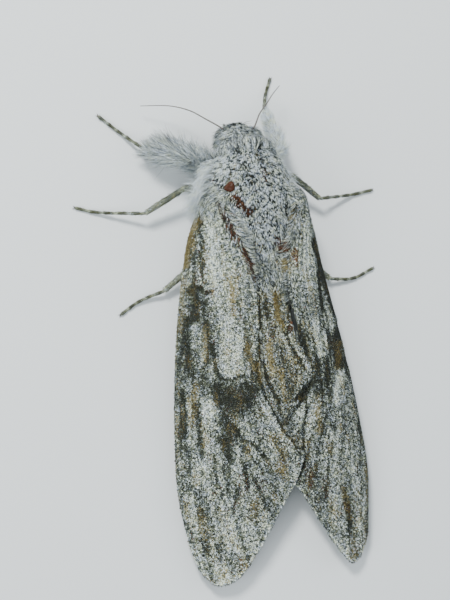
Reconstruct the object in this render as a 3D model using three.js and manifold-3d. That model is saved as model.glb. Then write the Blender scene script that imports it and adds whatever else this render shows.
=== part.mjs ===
// A giant wood moth (Endoxyla) at rest, life size, standing on a flat floor.
// Millimetres, +Z up, +Y towards the head, +X to the moth's right.
// Shapes are worked out about the middle of the thorax and moved to the plan centre at the end.
import * as THREE from "three";
import { mergeVertices } from "three/addons/utils/BufferGeometryUtils.js";
import Module from "manifold-3d";

const wasm = await Module();
wasm.setup();

// Driving dimensions.
const GAP = 0.3; // clearance between pieces that touch
const MEMBRANE = 0.55; // forewing thickness
const HIND_MEMBRANE = 0.5;
const VEIN_HEIGHT = 0.32;
const VEIN_HALF_WIDTH = 0.022; // as a share of the wing's width
const CAMBER = 3.1; // how far the forewing arches above its straight chord
const HIND_DROP = 1.45; // hindwing below forewing
const EYE_RADIUS = 1.9;
const LOCK_SINK = 0.6; // how deep a lock's root is sunk
const LOCK_THICKNESS = 0.7;
const PLAN_CENTRE = new THREE.Vector2(-2.15, -28.27); // middle of the whole insect, seen from above
const LEFT = -1;
const RIGHT = 1;
const UP = new THREE.Vector3(0, 0, 1);

// Rows of [y, height of the middle, half width, rise above the middle, drop below it], tail to head.
const THORAX_ROWS = [
  [-17.4, 9.4, 0.3, 0.3, 0.3],
  [-16.6, 9.4, 3.0, 4.4, 3.6],
  [-14.0, 9.5, 5.6, 6.3, 5.2],
  [-10.0, 9.8, 8.2, 8.0, 6.6],
  [-5.0, 10.0, 9.8, 8.9, 7.3],
  [0.0, 10.1, 10.2, 9.2, 7.5],
  [4.0, 10.0, 9.3, 8.8, 7.2],
  [7.5, 9.6, 7.7, 7.9, 6.5],
  [9.8, 9.3, 5.9, 6.4, 5.1],
  [11.1, 9.1, 3.9, 4.2, 3.4],
  [11.7, 9.0, 1.9, 2.0, 1.7],
  [11.9, 9.0, 0.3, 0.3, 0.3],
];
const ABDOMEN_ROWS = [
  [-44.6, 6.6, 0.3, 0.3, 0.3],
  [-44.0, 6.6, 2.6, 2.7, 2.7],
  [-42.0, 6.6, 4.4, 4.4, 4.9],
  [-38.5, 6.6, 6.2, 5.4, 6.5],
  [-33.0, 6.6, 7.4, 6.0, 6.75],
  [-25.0, 6.8, 7.9, 6.2, 6.5],
  [-18.0, 7.3, 7.7, 6.3, 6.1],
  [-12.0, 8.0, 6.4, 5.8, 5.2],
  [-9.0, 8.6, 4.0, 4.0, 3.6],
  [-8.0, 8.6, 0.3, 0.3, 0.3],
];
const HEAD_ROWS = [
  [8.4, 8.6, 0.3, 0.3, 0.3],
  [9.0, 8.6, 2.8, 2.8, 2.8],
  [11.2, 8.6, 4.1, 3.9, 4.1],
  [13.2, 8.4, 4.1, 3.7, 4.0],
  [14.6, 8.1, 3.2, 2.9, 3.3],
  [15.5, 7.9, 1.7, 1.6, 1.8],
  [15.8, 7.9, 0.3, 0.3, 0.3],
];
const HEAD_ASIDE = -0.8; // the head is turned a little to the left
const HEAD_RINGS = [
  [11.6, 4, 0.6, 3.2, 2.6],
  [13.6, 4, 0.8, 2.5, 2.2],
]; // [y, locks, angle of the first, length, width] of the hair over the brow
const ABDOMEN_SEGMENTS = 7;
const SEGMENT_STEP = 0.45; // how far each segment stands out over the next
const TAIL_RINGS = [
  [-39.6, 7, 4.6],
  [-42.4, 5, 4.0],
]; // [y, locks, length] of the tuft at its end

// Forewing edges as [distance out from the midline, y, height]; the costa is alike on both sides.
const COSTA = [
  [7.6, 1.6, 10.6],
  [10.9, -0.6, 10.0],
  [12.8, -4.5, 8.2],
  [14.4, -9.0, 6.4],
  [15.7, -14.5, 5.3],
  [17.9, -25.0, 4.2],
  [19.8, -36.5, 3.4],
  [21.5, -51.0, 2.8],
  [22.3, -63.0, 2.6],
  [21.1, -75.0, 2.4],
];
const APEX = [
  [21.1, -75.0, 2.4],
  [19.3, -80.7, 2.3],
  [16.1, -84.0, 2.4],
];
const WINGS = [
  {
    name: "left",
    side: LEFT,
    inner: [
      [6.0, 0.0, 15.2],
      [8.4, -3.2, 16.7],
      [7.2, -7.4, 17.0],
      [5.4, -11.3, 17.0],
      [3.4, -19.0, 16.0],
      [3.3, -31.0, 14.8],
      [3.3, -42.8, 13.2],
      [-1.0, -51.7, 11.2],
      [-5.2, -58.3, 9.2],
    ],
    termen: [
      [11.7, -83.1, 3.1],
      [6.6, -77.5, 4.6],
      [0.9, -69.1, 6.6],
      [-3.2, -63.2, 8.0],
      [-5.2, -58.3, 9.2],
    ],
  },
  {
    name: "right",
    side: RIGHT,
    inner: [
      [6.0, 0.0, 15.2],
      [8.4, -3.2, 16.7],
      [7.0, -8.4, 16.9],
      [4.9, -16.0, 16.4],
      [4.5, -22.0, 15.8],
      [6.4, -35.3, 13.8],
      [6.8, -42.0, 12.2],
      [2.6, -49.2, 9.9],
      [0.2, -55.0, 8.6],
      [0.6, -60.0, 7.2],
    ],
    termen: [
      [12.3, -79.6, 3.4],
      [7.8, -71.6, 4.8],
      [3.6, -64.1, 6.2],
      [0.6, -60.0, 7.2],
    ],
  },
];
// The left forewing's inner field, past the fold: its edge as [x, y, height], over the right wing's own.
const FIELD_EDGE = [
  [4.2, -16.8, 15.9],
  [3.8, -22.0, 15.4],
  [4.2, -27.0, 14.9],
  [4.9, -32.0, 14.6],
  [6.5, -36.0, 14.8],
  [7.9, -39.3, 14.1],
  [7.6, -41.5, 13.6],
  [6.4, -43.3, 13.0],
  [5.4, -45.6, 12.4],
  [3.4, -48.5, 11.7],
  [1.6, -50.8, 11.4],
];
const FIELD_REACH = [0.29, 0.845]; // where it leaves the wing, as shares of the wing's length
const FIELD_FOLD = 0.94; // and of its width
const FIELD_SAG = 0.3;
const FIELD_ROWS = 10;
const VEINS = [0.09, 0.2, 0.31, 0.42, 0.53, 0.64, 0.76, 0.88]; // places across the wing, costa to inner edge
const WING_ROWS = 12;
const HIND_ROWS = 9;
const HIND_PLEATS = 4;

// Legs as joints: [distance out, y, height], from the underside of the body to the toe.
const LEGS = [
  {
    name: "fore_left",
    side: LEFT,
    coxa: [1.9, 8.6, 3.0],
    hip: [4.6, 6.6, 3.2],
    knee: [12.4, 9.6, 7.0],
    ankle: [20.6, 12.7, 2.7],
    tarsus: [
      [24.6, 16.6, 0.75],
      [29.3, 21.0, 0.27],
    ],
    coat: 4.2,
  },
  {
    name: "fore_right",
    side: RIGHT,
    coxa: [1.9, 8.6, 3.0],
    hip: [4.6, 6.4, 3.2],
    knee: [9.6, 9.4, 7.2],
    ankle: [8.1, 19.0, 3.0],
    tarsus: [
      [9.5, 22.6, 0.8],
      [11.3, 26.4, 0.27],
    ],
    coat: 2.7,
  },
  {
    name: "mid_left",
    side: LEFT,
    coxa: [1.9, 3.6, 1.9],
    hip: [5.4, 1.2, 2.6],
    knee: [13.3, 3.0, 6.1],
    ankle: [22.3, -1.5, 3.6],
    tarsus: [
      [32.7, 0.1, 0.6],
      [36.9, 1.5, 0.27],
    ],
  },
  {
    name: "mid_right",
    side: RIGHT,
    coxa: [1.9, 3.6, 1.9],
    hip: [5.4, 1.2, 2.6],
    knee: [11.4, 3.6, 6.6],
    ankle: [18.3, -2.0, 4.2],
    tarsus: [
      [27.5, -1.5, 0.7],
      [32.7, -0.9, 0.27],
    ],
  },
  {
    name: "hind_left",
    side: LEFT,
    coxa: [1.9, -4.6, 2.0],
    hip: [5.2, -7.4, 2.6],
    knee: [10.8, -12.6, 4.4],
    ankle: [19.7, -18.7, 1.75],
    tarsus: [
      [25.6, -20.5, 0.55],
      [29.7, -22.8, 0.27],
    ],
  },
  {
    name: "hind_right",
    side: RIGHT,
    coxa: [1.9, -4.6, 2.0],
    hip: [5.2, -7.4, 2.6],
    knee: [10.8, -13.2, 4.4],
    ankle: [19.4, -20.2, 1.75],
    tarsus: [
      [25.4, -20.6, 0.55],
      [30.6, -18.8, 0.27],
    ],
  },
];
const BRUSH_LOCKS = 4; // locks in each ring round a foreleg
const BRUSH_CORE = 0.36; // half width of its dense core, as a share of the hair's length
const TARSOMERES = 5;
const COXA_RADIUS = 1.35;
const FEMUR_RADIUS = 1.05;
const TIBIA_RADIUS = 0.75;
const TARSUS_RADIUS = 0.42;

const ANTENNAE = {
  left: [
    [-3.4, 14.0, 9.6],
    [-4.9, 15.1, 10.2],
    [-7.7, 17.3, 9.2],
    [-10.4, 19.5, 7.7],
    [-14.2, 21.2, 5.7],
    [-20.3, 22.1, 3.2],
  ],
  right: [
    [1.2, 13.4, 9.9],
    [2.5, 14.2, 10.6],
    [4.6, 17.4, 9.9],
    [6.8, 19.6, 9.0],
    [8.8, 21.7, 7.9],
    [11.3, 23.8, 6.2],
  ],
};
const PALPS = { left: [-2.2, -2.7], right: [0.6, 1.1] }; // x at the root and at the tip

// Materials.
const matte = (color, roughness = 0.9) => new THREE.MeshStandardMaterial({ color, roughness, metalness: 0 });
const FINISH = {
  coat: matte(0x8f9090),
  forewing: matte(0x9a9a98, 0.85),
  hindwing: matte(0x77695c, 0.85),
  abdomen: matte(0x8b8578),
  leg: matte(0x77776f, 0.8),
  antenna: matte(0x54524e, 0.6),
  eye: matte(0x1d1712, 0.25),
};

// Working tools.
const { lerp, smoothstep } = THREE.MathUtils;
const vector = (row) => new THREE.Vector3(...row);
const curve = (rows) => new THREE.CatmullRomCurve3(rows.map(vector), false, "centripetal");
const onSide = (side) => ([out, y, z]) => [side * out, y, z];

// A draw between -1 and 1 that is the same in every run.
let seed = 20;
function vary() {
  seed = (seed * 16807) % 2147483647;
  return (seed / 2147483647) * 2 - 1;
}

// A smooth run of values between rows of [place, value, value, ...].
function track(rows) {
  const places = rows.map((row) => row[0]);
  const values = rows.flatMap((row) => row.slice(1));
  const run = new THREE.CubicInterpolant(places, values, rows[0].length - 1);
  return (place) => Array.from(run.evaluate(place));
}

// Moves every corner of a geometry to where the function puts it.
function warp(geometry, place) {
  const at = geometry.attributes.position;
  const corner = new THREE.Vector3();
  for (let i = 0; i < at.count; i++) {
    const moved = place(corner.fromBufferAttribute(at, i));
    at.setXYZ(i, moved.x, moved.y, moved.z);
  }
  return geometry;
}

// A closed geometry as a solid, its faces turned out.
function solid(geometry) {
  const bare = new THREE.BufferGeometry().setAttribute("position", geometry.getAttribute("position"));
  if (geometry.index) bare.setIndex(geometry.index);
  const merged = mergeVertices(bare, 1e-4);
  const build = (triVerts) =>
    new wasm.Manifold(
      new wasm.Mesh({ numProp: 3, vertProperties: new Float32Array(merged.attributes.position.array), triVerts }),
    );
  const corners = new Uint32Array(merged.index.array);
  const made = build(corners);
  return made.volume() < 0 ? build(corners.reverse()) : made;
}

const join = (pieces) => wasm.Manifold.union(pieces);

// What is left of a piece clear of the others, as one closed body: the largest.
function clearOf(piece, others) {
  const cut = others.length ? piece.subtract(join(others)) : piece;
  return cut.decompose().reduce((most, one) => (one.volume() > most.volume() ? one : most));
}

// The part of a piece above the floor.
const aboveFloor = (piece) => piece.trimByPlane([0, 0, 1], 0);

function node(name, piece, material) {
  const mesh = piece.getMesh();
  const corners = new Float32Array(mesh.numVert * 3);
  for (let i = 0; i < mesh.numVert; i++) {
    corners.set(mesh.vertProperties.subarray(i * mesh.numProp, i * mesh.numProp + 3), i * 3);
  }
  const geometry = new THREE.BufferGeometry()
    .setAttribute("position", new THREE.BufferAttribute(corners, 3))
    .setIndex(new THREE.BufferAttribute(mesh.triVerts, 1));
  geometry.computeVertexNormals();
  const made = new THREE.Mesh(geometry, material);
  made.name = name;
  return made;
}

// A point on a body given by rows, at a y and an angle up from its right side, grown outwards by `grow`.
function onBody(rows, y, angle, grow = 0, aside = 0) {
  const [middle, half, rise, drop] = track(rows)(y);
  const tall = Math.sin(angle) > 0 ? rise : drop;
  return new THREE.Vector3(
    aside + (half + grow) * Math.cos(angle),
    y,
    middle + (tall + grow) * Math.sin(angle),
  );
}

// A closed rounded body from rows, tail to head, with a ripple of the radii along it.
function body(rows, around, along, { grow = 0, aside = 0, ripple = () => 0 } = {}) {
  const at = track(rows);
  const [tail, head] = [rows[0][0], rows.at(-1)[0]];
  return solid(
    warp(new THREE.SphereGeometry(1, around, along), (p) => {
      const share = (p.y + 1) / 2;
      const [middle, half, rise, drop] = at(lerp(tail, head, share));
      const y = lerp(tail - grow, head + grow, share);
      const pole = Math.hypot(p.x, p.z) < 1e-6;
      const angle = Math.atan2(p.z, p.x);
      const extra = grow + ripple(share);
      const tall = p.z > 0 ? rise : drop;
      if (pole) return new THREE.Vector3(aside, y, middle);
      return new THREE.Vector3(
        aside + (half + extra) * Math.cos(angle),
        y,
        middle + (tall + extra) * Math.sin(angle),
      );
    }),
  );
}

// A tube along a curve; its radius is a function of the share of the way.
function tube(path, radius, around, along, grow = 0) {
  return solid(
    warp(new THREE.CylinderGeometry(1, 1, 1, around, along), (p) => {
      const share = THREE.MathUtils.clamp(p.y + 0.5, 0, 1);
      const ahead = path.getTangentAt(share);
      const side = new THREE.Vector3().crossVectors(ahead, UP).normalize();
      const top = new THREE.Vector3().crossVectors(side, ahead);
      const r = radius(share) + grow;
      const at = path.getPointAt(share).addScaledVector(ahead, grow * (2 * share - 1));
      return at.addScaledVector(side, p.x * r).addScaledVector(top, p.z * r);
    }),
  );
}

// A flat tapered lock. It leaves its root at an angle of `rise` to its lie and bends down to it at the tip.
function lock({ root, out, lie, length, width, thick = LOCK_THICKNESS, rise = 0.5, sink = LOCK_SINK }, grow = 0) {
  const flatLie = lie.clone().addScaledVector(out, -lie.dot(out)).normalize();
  const side = new THREE.Vector3().crossVectors(flatLie, out).normalize();
  const start = root.clone().addScaledVector(out, -sink);
  const tall = length + sink;
  return solid(
    warp(new THREE.ConeGeometry(1, 1, 4, 3), (p) => {
      const share = p.y + 0.5;
      const angle = rise * (1 - share);
      const along = (tall * (Math.sin(rise) - Math.sin(angle))) / rise;
      const lift = (tall * (Math.cos(angle) - Math.cos(rise))) / rise;
      const face = flatLie.clone().multiplyScalar(-Math.sin(angle)).addScaledVector(out, Math.cos(angle));
      const left = Math.max(1 - share, 1e-6);
      const bulge = Math.pow(left, 0.55) / left;
      const at = start.clone().addScaledVector(flatLie, along + grow * share).addScaledVector(out, lift);
      return at
        .addScaledVector(side, p.x * bulge * (width / 2 + grow))
        .addScaledVector(face, p.z * bulge * (thick / 2 + grow));
    }),
  );
}

const locksOf = (coat, grow = 0) => join(coat.map((one) => lock(one, grow)));

// A closed sheet: face(row, column, side, rim) gives its two faces, which are split into the same
// triangles. `rim` says which edges a corner lies on: -1 the first, 1 the last, 0 neither.
function sheet(rows, columns, face) {
  const corners = [];
  const index = [];
  const across = columns.length;
  const edge = (i, list) => (i === 0 ? -1 : i === list.length - 1 ? 1 : 0);
  for (const side of [1, -1]) {
    rows.forEach((row, i) =>
      columns.forEach((column, j) =>
        corners.push(...face(row, column, side, [edge(i, rows), edge(j, columns)]).toArray()),
      ),
    );
  }
  const count = rows.length * across;
  const quad = (a, b, c, d) => index.push(a, b, c, a, c, d);
  for (let i = 0; i + 1 < rows.length; i++) {
    for (let j = 0; j + 1 < across; j++) {
      const a = i * across + j;
      quad(a, a + across, a + across + 1, a + 1);
      index.push(a + count, a + across + 1 + count, a + across + count);
      index.push(a + count, a + 1 + count, a + across + 1 + count);
    }
    const first = i * across;
    const last = first + across - 1;
    quad(first, first + count, first + across + count, first + across);
    quad(last, last + across, last + across + count, last + count);
  }
  const end = count - across;
  for (let j = 0; j + 1 < across; j++) {
    quad(j, j + 1, j + 1 + count, j + count);
    quad(end + j, end + j + count, end + j + 1 + count, end + j + 1);
  }
  const position = new THREE.Float32BufferAttribute(corners, 3);
  return solid(new THREE.BufferGeometry().setAttribute("position", position).setIndex(index));
}

// The forewing's middle surface, root to outer edge and costa to inner edge: a patch blended from its
// four edges, arched most near the costa.
function wingSurface({ side, inner, termen }) {
  const place = onSide(side);
  const costa = curve(COSTA.map(place));
  const innerEdge = curve(inner.map(place));
  const outer = curve([...APEX, ...termen].map(place));
  const root = new THREE.LineCurve3(vector(place(COSTA[0])), vector(place(inner[0])));
  const corner = [costa.getPoint(0), costa.getPoint(1), innerEdge.getPoint(0), innerEdge.getPoint(1)];
  return (s, v) => {
    const at = costa.getPointAt(s).multiplyScalar(1 - v).addScaledVector(innerEdge.getPointAt(s), v);
    at.addScaledVector(root.getPointAt(v), 1 - s).addScaledVector(outer.getPointAt(v), s);
    at.addScaledVector(corner[0], -(1 - s) * (1 - v)).addScaledVector(corner[1], -s * (1 - v));
    at.addScaledVector(corner[2], -(1 - s) * v).addScaledVector(corner[3], -s * v);
    at.z += CAMBER * (1 - 0.62 * s * s) * Math.sin(Math.PI * Math.pow(v, 0.7));
    return at;
  };
}

// The directions of a surface at a point: towards the wing's tip, towards its inner edge, and up.
function slopes(surface, s, v) {
  const step = 0.01;
  const [s0, s1] = [Math.max(0, s - step), Math.min(1, s + step)];
  const [v0, v1] = [Math.max(0, v - step), Math.min(1, v + step)];
  const along = surface(s1, v).sub(surface(s0, v)).normalize();
  const across = surface(s, v1).sub(surface(s, v0)).normalize();
  const normal = along.clone().cross(across).normalize();
  if (normal.z < 0) normal.negate();
  return { along, across, normal };
}

// A corner of a sheet that follows a surface: off it by `lift`, and grown out past the sheet's rim.
function offSurface(surface, s, v, lift, rim, grow) {
  const { along, across, normal } = slopes(surface, s, v);
  const at = surface(s, v).addScaledVector(normal, lift);
  return at.addScaledVector(along, rim[0] * grow).addScaledVector(across, rim[1] * grow);
}

const evenly = (count, from = 0, to = 1) =>
  Array.from({ length: count + 1 }, (_, i) => lerp(from, to, i / count));

// The forewing: a thin arched sheet with its main veins as ridges on top.
function forewing(surface, grow = 0, brim = grow) {
  const w = VEIN_HALF_WIDTH;
  const columns = [0, ...VEINS.flatMap((v) => [v - w, v, v + w]), 1];
  const ridge = (s, v) => (VEINS.includes(v) ? VEIN_HEIGHT * (1 - 0.4 * s) * smoothstep(s, -0.1, 0.2) : 0);
  return sheet(evenly(WING_ROWS), columns, (s, v, face, rim) => {
    const half = MEMBRANE / 2 + grow + (face > 0 ? ridge(s, v) : 0);
    return offSurface(surface, s, v, face * half, rim, brim);
  });
}

// The left forewing's inner field: a sheet from the fold to its own edge, sagging a little between them.
function innerField(surface, grow = 0) {
  const edge = curve(FIELD_EDGE);
  return sheet(evenly(FIELD_ROWS), evenly(4), (t, c, face, rim) => {
    const at = surface(lerp(...FIELD_REACH, t), FIELD_FOLD).lerp(edge.getPointAt(t), c);
    const half = (MEMBRANE / 2) * Math.min(1, 0.4 + 3 * c) + grow;
    return at.add(new THREE.Vector3(rim[1] * grow, -rim[0] * grow, face * half - FIELD_SAG * Math.sin(Math.PI * c)));
  });
}

// The hindwing: a shorter pleated sheet that lies folded under the forewing.
function hindwing(surface, grow = 0) {
  const columns = evenly(2 * HIND_PLEATS);
  return sheet(evenly(HIND_ROWS), columns, (r, c, face, rim) => {
    const s = lerp(0.02, 0.6, r);
    const first = lerp(0.2, 0.34, r * r);
    const last = lerp(0.95, 0.7, smoothstep(r, 0.6, 1));
    const pleat = (columns.indexOf(c) % 2 ? 0.28 : 0) * smoothstep(r, 0.05, 0.4);
    const lift = face * (HIND_MEMBRANE / 2 + grow) - HIND_DROP - pleat;
    return offSurface(surface, s, lerp(first, last, c), lift, rim, grow);
  });
}

// A lock rooted on a body given by rows, at a y and an angle up from its right side, square to its surface.
function rooted(rows, y, angle, shape, aside = 0) {
  const at = (dy, turn) => onBody(rows, y + dy, angle + turn, 0, aside);
  const around = at(0, 0.05).sub(at(0, -0.05));
  const out = around.cross(at(0.2, 0).sub(at(-0.2, 0))).negate().normalize();
  return { ...shape, root: at(0, 0), out, length: shape.length * (1 + 0.12 * vary()) };
}

// The thorax: one domed body, and the long hair on its collar, shoulders, flanks and rear.
const thoraxCore = (grow = 0) => body(THORAX_ROWS, 22, 14, { grow });

function thoraxCoat() {
  const coat = [];
  const add = (y, angle, length, width, lie, rise) =>
    coat.push(rooted(THORAX_ROWS, y, angle, { length, width, lie, rise }));
  const back = (x, z = 0) => new THREE.Vector3(x, -1, z);
  for (const [y, count, edge] of [
    [9.6, 7, 0.3],
    [7.4, 6, 0.6],
  ]) {
    for (const angle of evenly(count - 1, edge, Math.PI - edge)) {
      add(y, angle, 4.0, 2.6, back(0.2 * Math.cos(angle)), 0.55);
    }
  }
  for (const side of [LEFT, RIGHT]) {
    const from = (angle) => (side === LEFT ? Math.PI - angle : angle);
    for (const y of [4.6, 2.4]) {
      for (const angle of evenly(2, 0.75, 0.15)) add(y, from(angle), 4.6, 2.2, back(0.35 * side), 0.7);
    }
    for (const y of evenly(4, 8.6, -0.2)) add(y, from(0.22 + 0.05 * vary()), 4.6, 2.2, back(1.0 * side, -0.1), 0.85);
    for (const y of evenly(4, 7.4, -1.8)) add(y, from(-0.2 + 0.05 * vary()), 5.4, 2.3, back(1.3 * side, -0.2), 0.9);
  }
  for (const [y, count, length] of [
    [-7.6, 3, 4.4],
    [-11.0, 3, 4.6],
    [-13.8, 4, 4.8],
  ]) {
    const spread = 0.15 * (count - 1);
    for (const turn of evenly(count - 1, -spread, spread)) add(y, Math.PI / 2 + turn, length, 2.1, back(0), 0.42);
  }
  return coat;
}

// The head: a short rounded capsule with a forelock between the antennae.
const headCore = (grow = 0) => body(HEAD_ROWS, 14, 10, { grow, aside: HEAD_ASIDE });
const eyeCentre = (side) => new THREE.Vector3(HEAD_ASIDE + side * 3.3, 13.3, 8.0);

function eye(side, grow = 0) {
  const ball = new THREE.SphereGeometry(EYE_RADIUS + grow, 12, 9);
  ball.scale(0.85, 1, 1.05);
  return solid(ball.translate(...eyeCentre(side).toArray()));
}

function headCoat() {
  return HEAD_RINGS.flatMap(([y, count, edge, length, width]) =>
    evenly(count - 1, edge, Math.PI - edge).map((angle) => {
      const lie = new THREE.Vector3(0.1 * Math.cos(angle), 1, -0.2);
      return rooted(HEAD_ROWS, y, angle, { length, width, lie, rise: 0.6 }, HEAD_ASIDE);
    }),
  );
}

function palp(side, grow = 0) {
  const [rootX, tipX] = PALPS[side];
  const path = curve([
    [rootX, 13.9, 6.0],
    [lerp(rootX, tipX, 0.5), 15.6, 5.8],
    [tipX, 16.5, 7.0],
  ]);
  return tube(path, (t) => 0.75 * (1 - 0.55 * t * t), 6, 4, grow);
}

function antenna(side, grow = 0) {
  return tube(curve(ANTENNAE[side]), (t) => lerp(0.36, 0.16, t), 6, 12, grow);
}

// The abdomen: overlapping rings, each a little wider at its hind edge, and a blunt tuft at the end.
function abdomen() {
  const ripple = (share) => {
    const ring = (share * ABDOMEN_SEGMENTS) % 1;
    return SEGMENT_STEP * (0.5 - ring) * smoothstep(share, 0.04, 0.2);
  };
  const tuft = TAIL_RINGS.flatMap(([y, count, length]) =>
    evenly(count - 1, 0, ((count - 1) / count) * 2 * Math.PI).map((turn) => {
      const lie = new THREE.Vector3(0, -1, 0);
      return rooted(ABDOMEN_ROWS, y, turn + 0.1 * y, { length, width: 2.3, lie, rise: 0.35 });
    }),
  );
  return aboveFloor(join([body(ABDOMEN_ROWS, 18, 3 * ABDOMEN_SEGMENTS, { ripple }), locksOf(tuft)]));
}

// The bare parts of a leg: coxa, femur, tibia with its spurs, a tarsus of five joints and two claws.
function limb({ side, coxa, hip, knee, ankle, tarsus, coat }, grow = 0) {
  const place = onSide(side);
  const [top, a, b, c, ...toes] = [coxa, hip, knee, ankle, ...tarsus].map((row) => vector(place(row)));
  const haunch = tube(new THREE.LineCurve3(top, a), (t) => COXA_RADIUS * Math.sqrt(1.02 - 0.6 * t * t), 8, 3, grow);
  const thigh = a.clone().lerp(top, 0.5 / a.distanceTo(top));
  const femur = tube(new THREE.LineCurve3(thigh, b), (t) => FEMUR_RADIUS * (1 - 0.35 * t), 8, 3, grow);
  const knuckle = b.clone().lerp(a, 0.3 / a.distanceTo(b));
  const shank = (t) => TIBIA_RADIUS * (0.85 + 0.15 * Math.sin(Math.PI * t));
  const tibia = tube(new THREE.LineCurve3(knuckle, c), shank, 8, 2, grow);
  const foot = new THREE.CatmullRomCurve3([c, ...toes], false, "centripetal");
  const tarsomere = (t) => TARSUS_RADIUS * (0.82 + 0.2 * ((t * TARSOMERES) % 1));
  const ahead = foot.getTangentAt(1);
  const across = new THREE.Vector3().crossVectors(ahead, UP).normalize();
  const points = [LEFT, RIGHT].flatMap((way) => {
    const fine = { out: UP, thick: 0.5, rise: 0.15, sink: 0 };
    const claw = { ...fine, root: foot.getPointAt(0.97), lie: ahead.clone().addScaledVector(across, 0.7 * way) };
    const shin = c.clone().sub(b).normalize();
    const spur = { ...fine, root: c.clone().lerp(b, 0.08), lie: shin.addScaledVector(across, 0.6 * way) };
    const claws = [{ ...claw, length: 1.3, width: 0.55 }];
    return coat ? claws : [...claws, { ...spur, length: 2.3, width: 0.6 }];
  });
  return join([haunch, femur, tibia, tube(foot, tarsomere, 6, 3 * TARSOMERES, grow), locksOf(points, grow)]);
}

// The brush on a foreleg: a dense core along femur and tibia, and long hair all round it.
function brush({ side, hip, knee, ankle, coat }) {
  const place = onSide(side);
  const [a, b, c] = [hip, knee, ankle].map((row) => vector(place(row)));
  const locks = [];
  const thigh = { from: a.clone().lerp(b, 0.55), to: b, rings: 1, girth: (t) => BRUSH_CORE * lerp(0.8, 1, t) };
  const shin = { from: b, to: c, rings: 3, girth: (t) => BRUSH_CORE * lerp(1, 0.62, t) };
  const cores = [thigh, shin].map(({ from, to, rings, girth }) => {
    const ahead = to.clone().sub(from).normalize();
    const across = new THREE.Vector3().crossVectors(ahead, UP).normalize();
    const top = new THREE.Vector3().crossVectors(across, ahead);
    for (let i = 0; i < rings; i++) {
      const share = (i + 0.35) / rings;
      for (let j = 0; j < BRUSH_LOCKS; j++) {
        const angle = ((j + 0.5 * (i % 2)) / BRUSH_LOCKS) * 2 * Math.PI + 0.3;
        const out = across.clone().multiplyScalar(Math.cos(angle)).addScaledVector(top, Math.sin(angle));
        const root = from.clone().lerp(to, share).addScaledVector(out, coat * girth(share));
        const length = coat * (1.2 - 0.4 * Math.max(0, -out.z)) * lerp(1, 0.8, share) * (1 + 0.1 * vary());
        locks.push({ root, out, lie: ahead, length, width: 0.55 * coat, rise: 0.95 });
      }
    }
    return tube(new THREE.LineCurve3(from, to), (t) => coat * girth(t), 8, 3);
  });
  return join([...cores, locksOf(locks)]);
}

// Build the insect: each piece is cut clear of those it meets.
const moth = new THREE.Group();
const add = (name, piece, material) => moth.add(node(name, piece, material));

const surfaces = WINGS.map(wingSurface);
const fieldRoom = innerField(surfaces[0], GAP);
const wingRoom = surfaces.flatMap((surface) => [forewing(surface, GAP, 2 * GAP), hindwing(surface, GAP)]);
const limbRoom = LEGS.map((shape) => limb(shape, GAP));
const feelerRoom = ["left", "right"].map((side) => antenna(side, GAP));
const eyeRoom = [eye(LEFT, GAP), eye(RIGHT, GAP)];
const thoraxRoom = thoraxCore(GAP);
const headRoom = headCore(GAP);

const onThorax = thoraxCoat();
const abdomenRoom = body(ABDOMEN_ROWS, 18, 14, { grow: GAP + SEGMENT_STEP / 2 });
const hairOthers = join([...wingRoom, fieldRoom, ...limbRoom, ...feelerRoom, ...eyeRoom, abdomenRoom]);
const thorax = join([thoraxCore(), locksOf(onThorax).subtract(hairOthers)]);
const coatRoom = locksOf(onThorax, GAP);
add("thorax", clearOf(thorax, []), FINISH.coat);

const head = join([headCore(), locksOf(headCoat())]);
const headOthers = [thoraxRoom, coatRoom, ...eyeRoom, ...feelerRoom];
add("head", clearOf(head, headOthers), FINISH.coat);
add("eye_left", clearOf(eye(LEFT), [thoraxRoom]), FINISH.eye);
add("eye_right", clearOf(eye(RIGHT), [thoraxRoom]), FINISH.eye);
for (const side of ["left", "right"]) {
  add(`antenna_${side}`, clearOf(antenna(side), [headRoom]), FINISH.antenna);
  add(`palp_${side}`, clearOf(palp(side), [headRoom]), FINISH.coat);
}

WINGS.forEach(({ name, side }, i) => {
  const whole = side === LEFT ? join([forewing(surfaces[i]), innerField(surfaces[i])]) : forewing(surfaces[i]);
  add(`forewing_${name}`, clearOf(whole, [thoraxRoom]), FINISH.forewing);
  add(`hindwing_${name}`, clearOf(hindwing(surfaces[i]), [thoraxRoom]), FINISH.hindwing);
});
add("abdomen", clearOf(abdomen(), [thoraxRoom, fieldRoom]), FINISH.abdomen);
for (const shape of LEGS) {
  const whole = shape.coat ? join([limb(shape), brush(shape)]) : limb(shape);
  const others = [thoraxRoom, ...wingRoom, headRoom, coatRoom];
  add(`leg_${shape.name}`, clearOf(aboveFloor(whole), others), FINISH.leg);
}

moth.position.set(-PLAN_CENTRE.x, -PLAN_CENTRE.y, 0);

export default moth;
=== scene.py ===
"""A giant wood moth (Endoxyla) at rest, life size: its skins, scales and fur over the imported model.

Shapes are worked out in millimetres about the middle of the thorax, +Y to the head and +X to the
moth's right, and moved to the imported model's place, in metres, when a piece is made.
"""

import bpy
import numpy as np
from mathutils import Matrix


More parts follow.
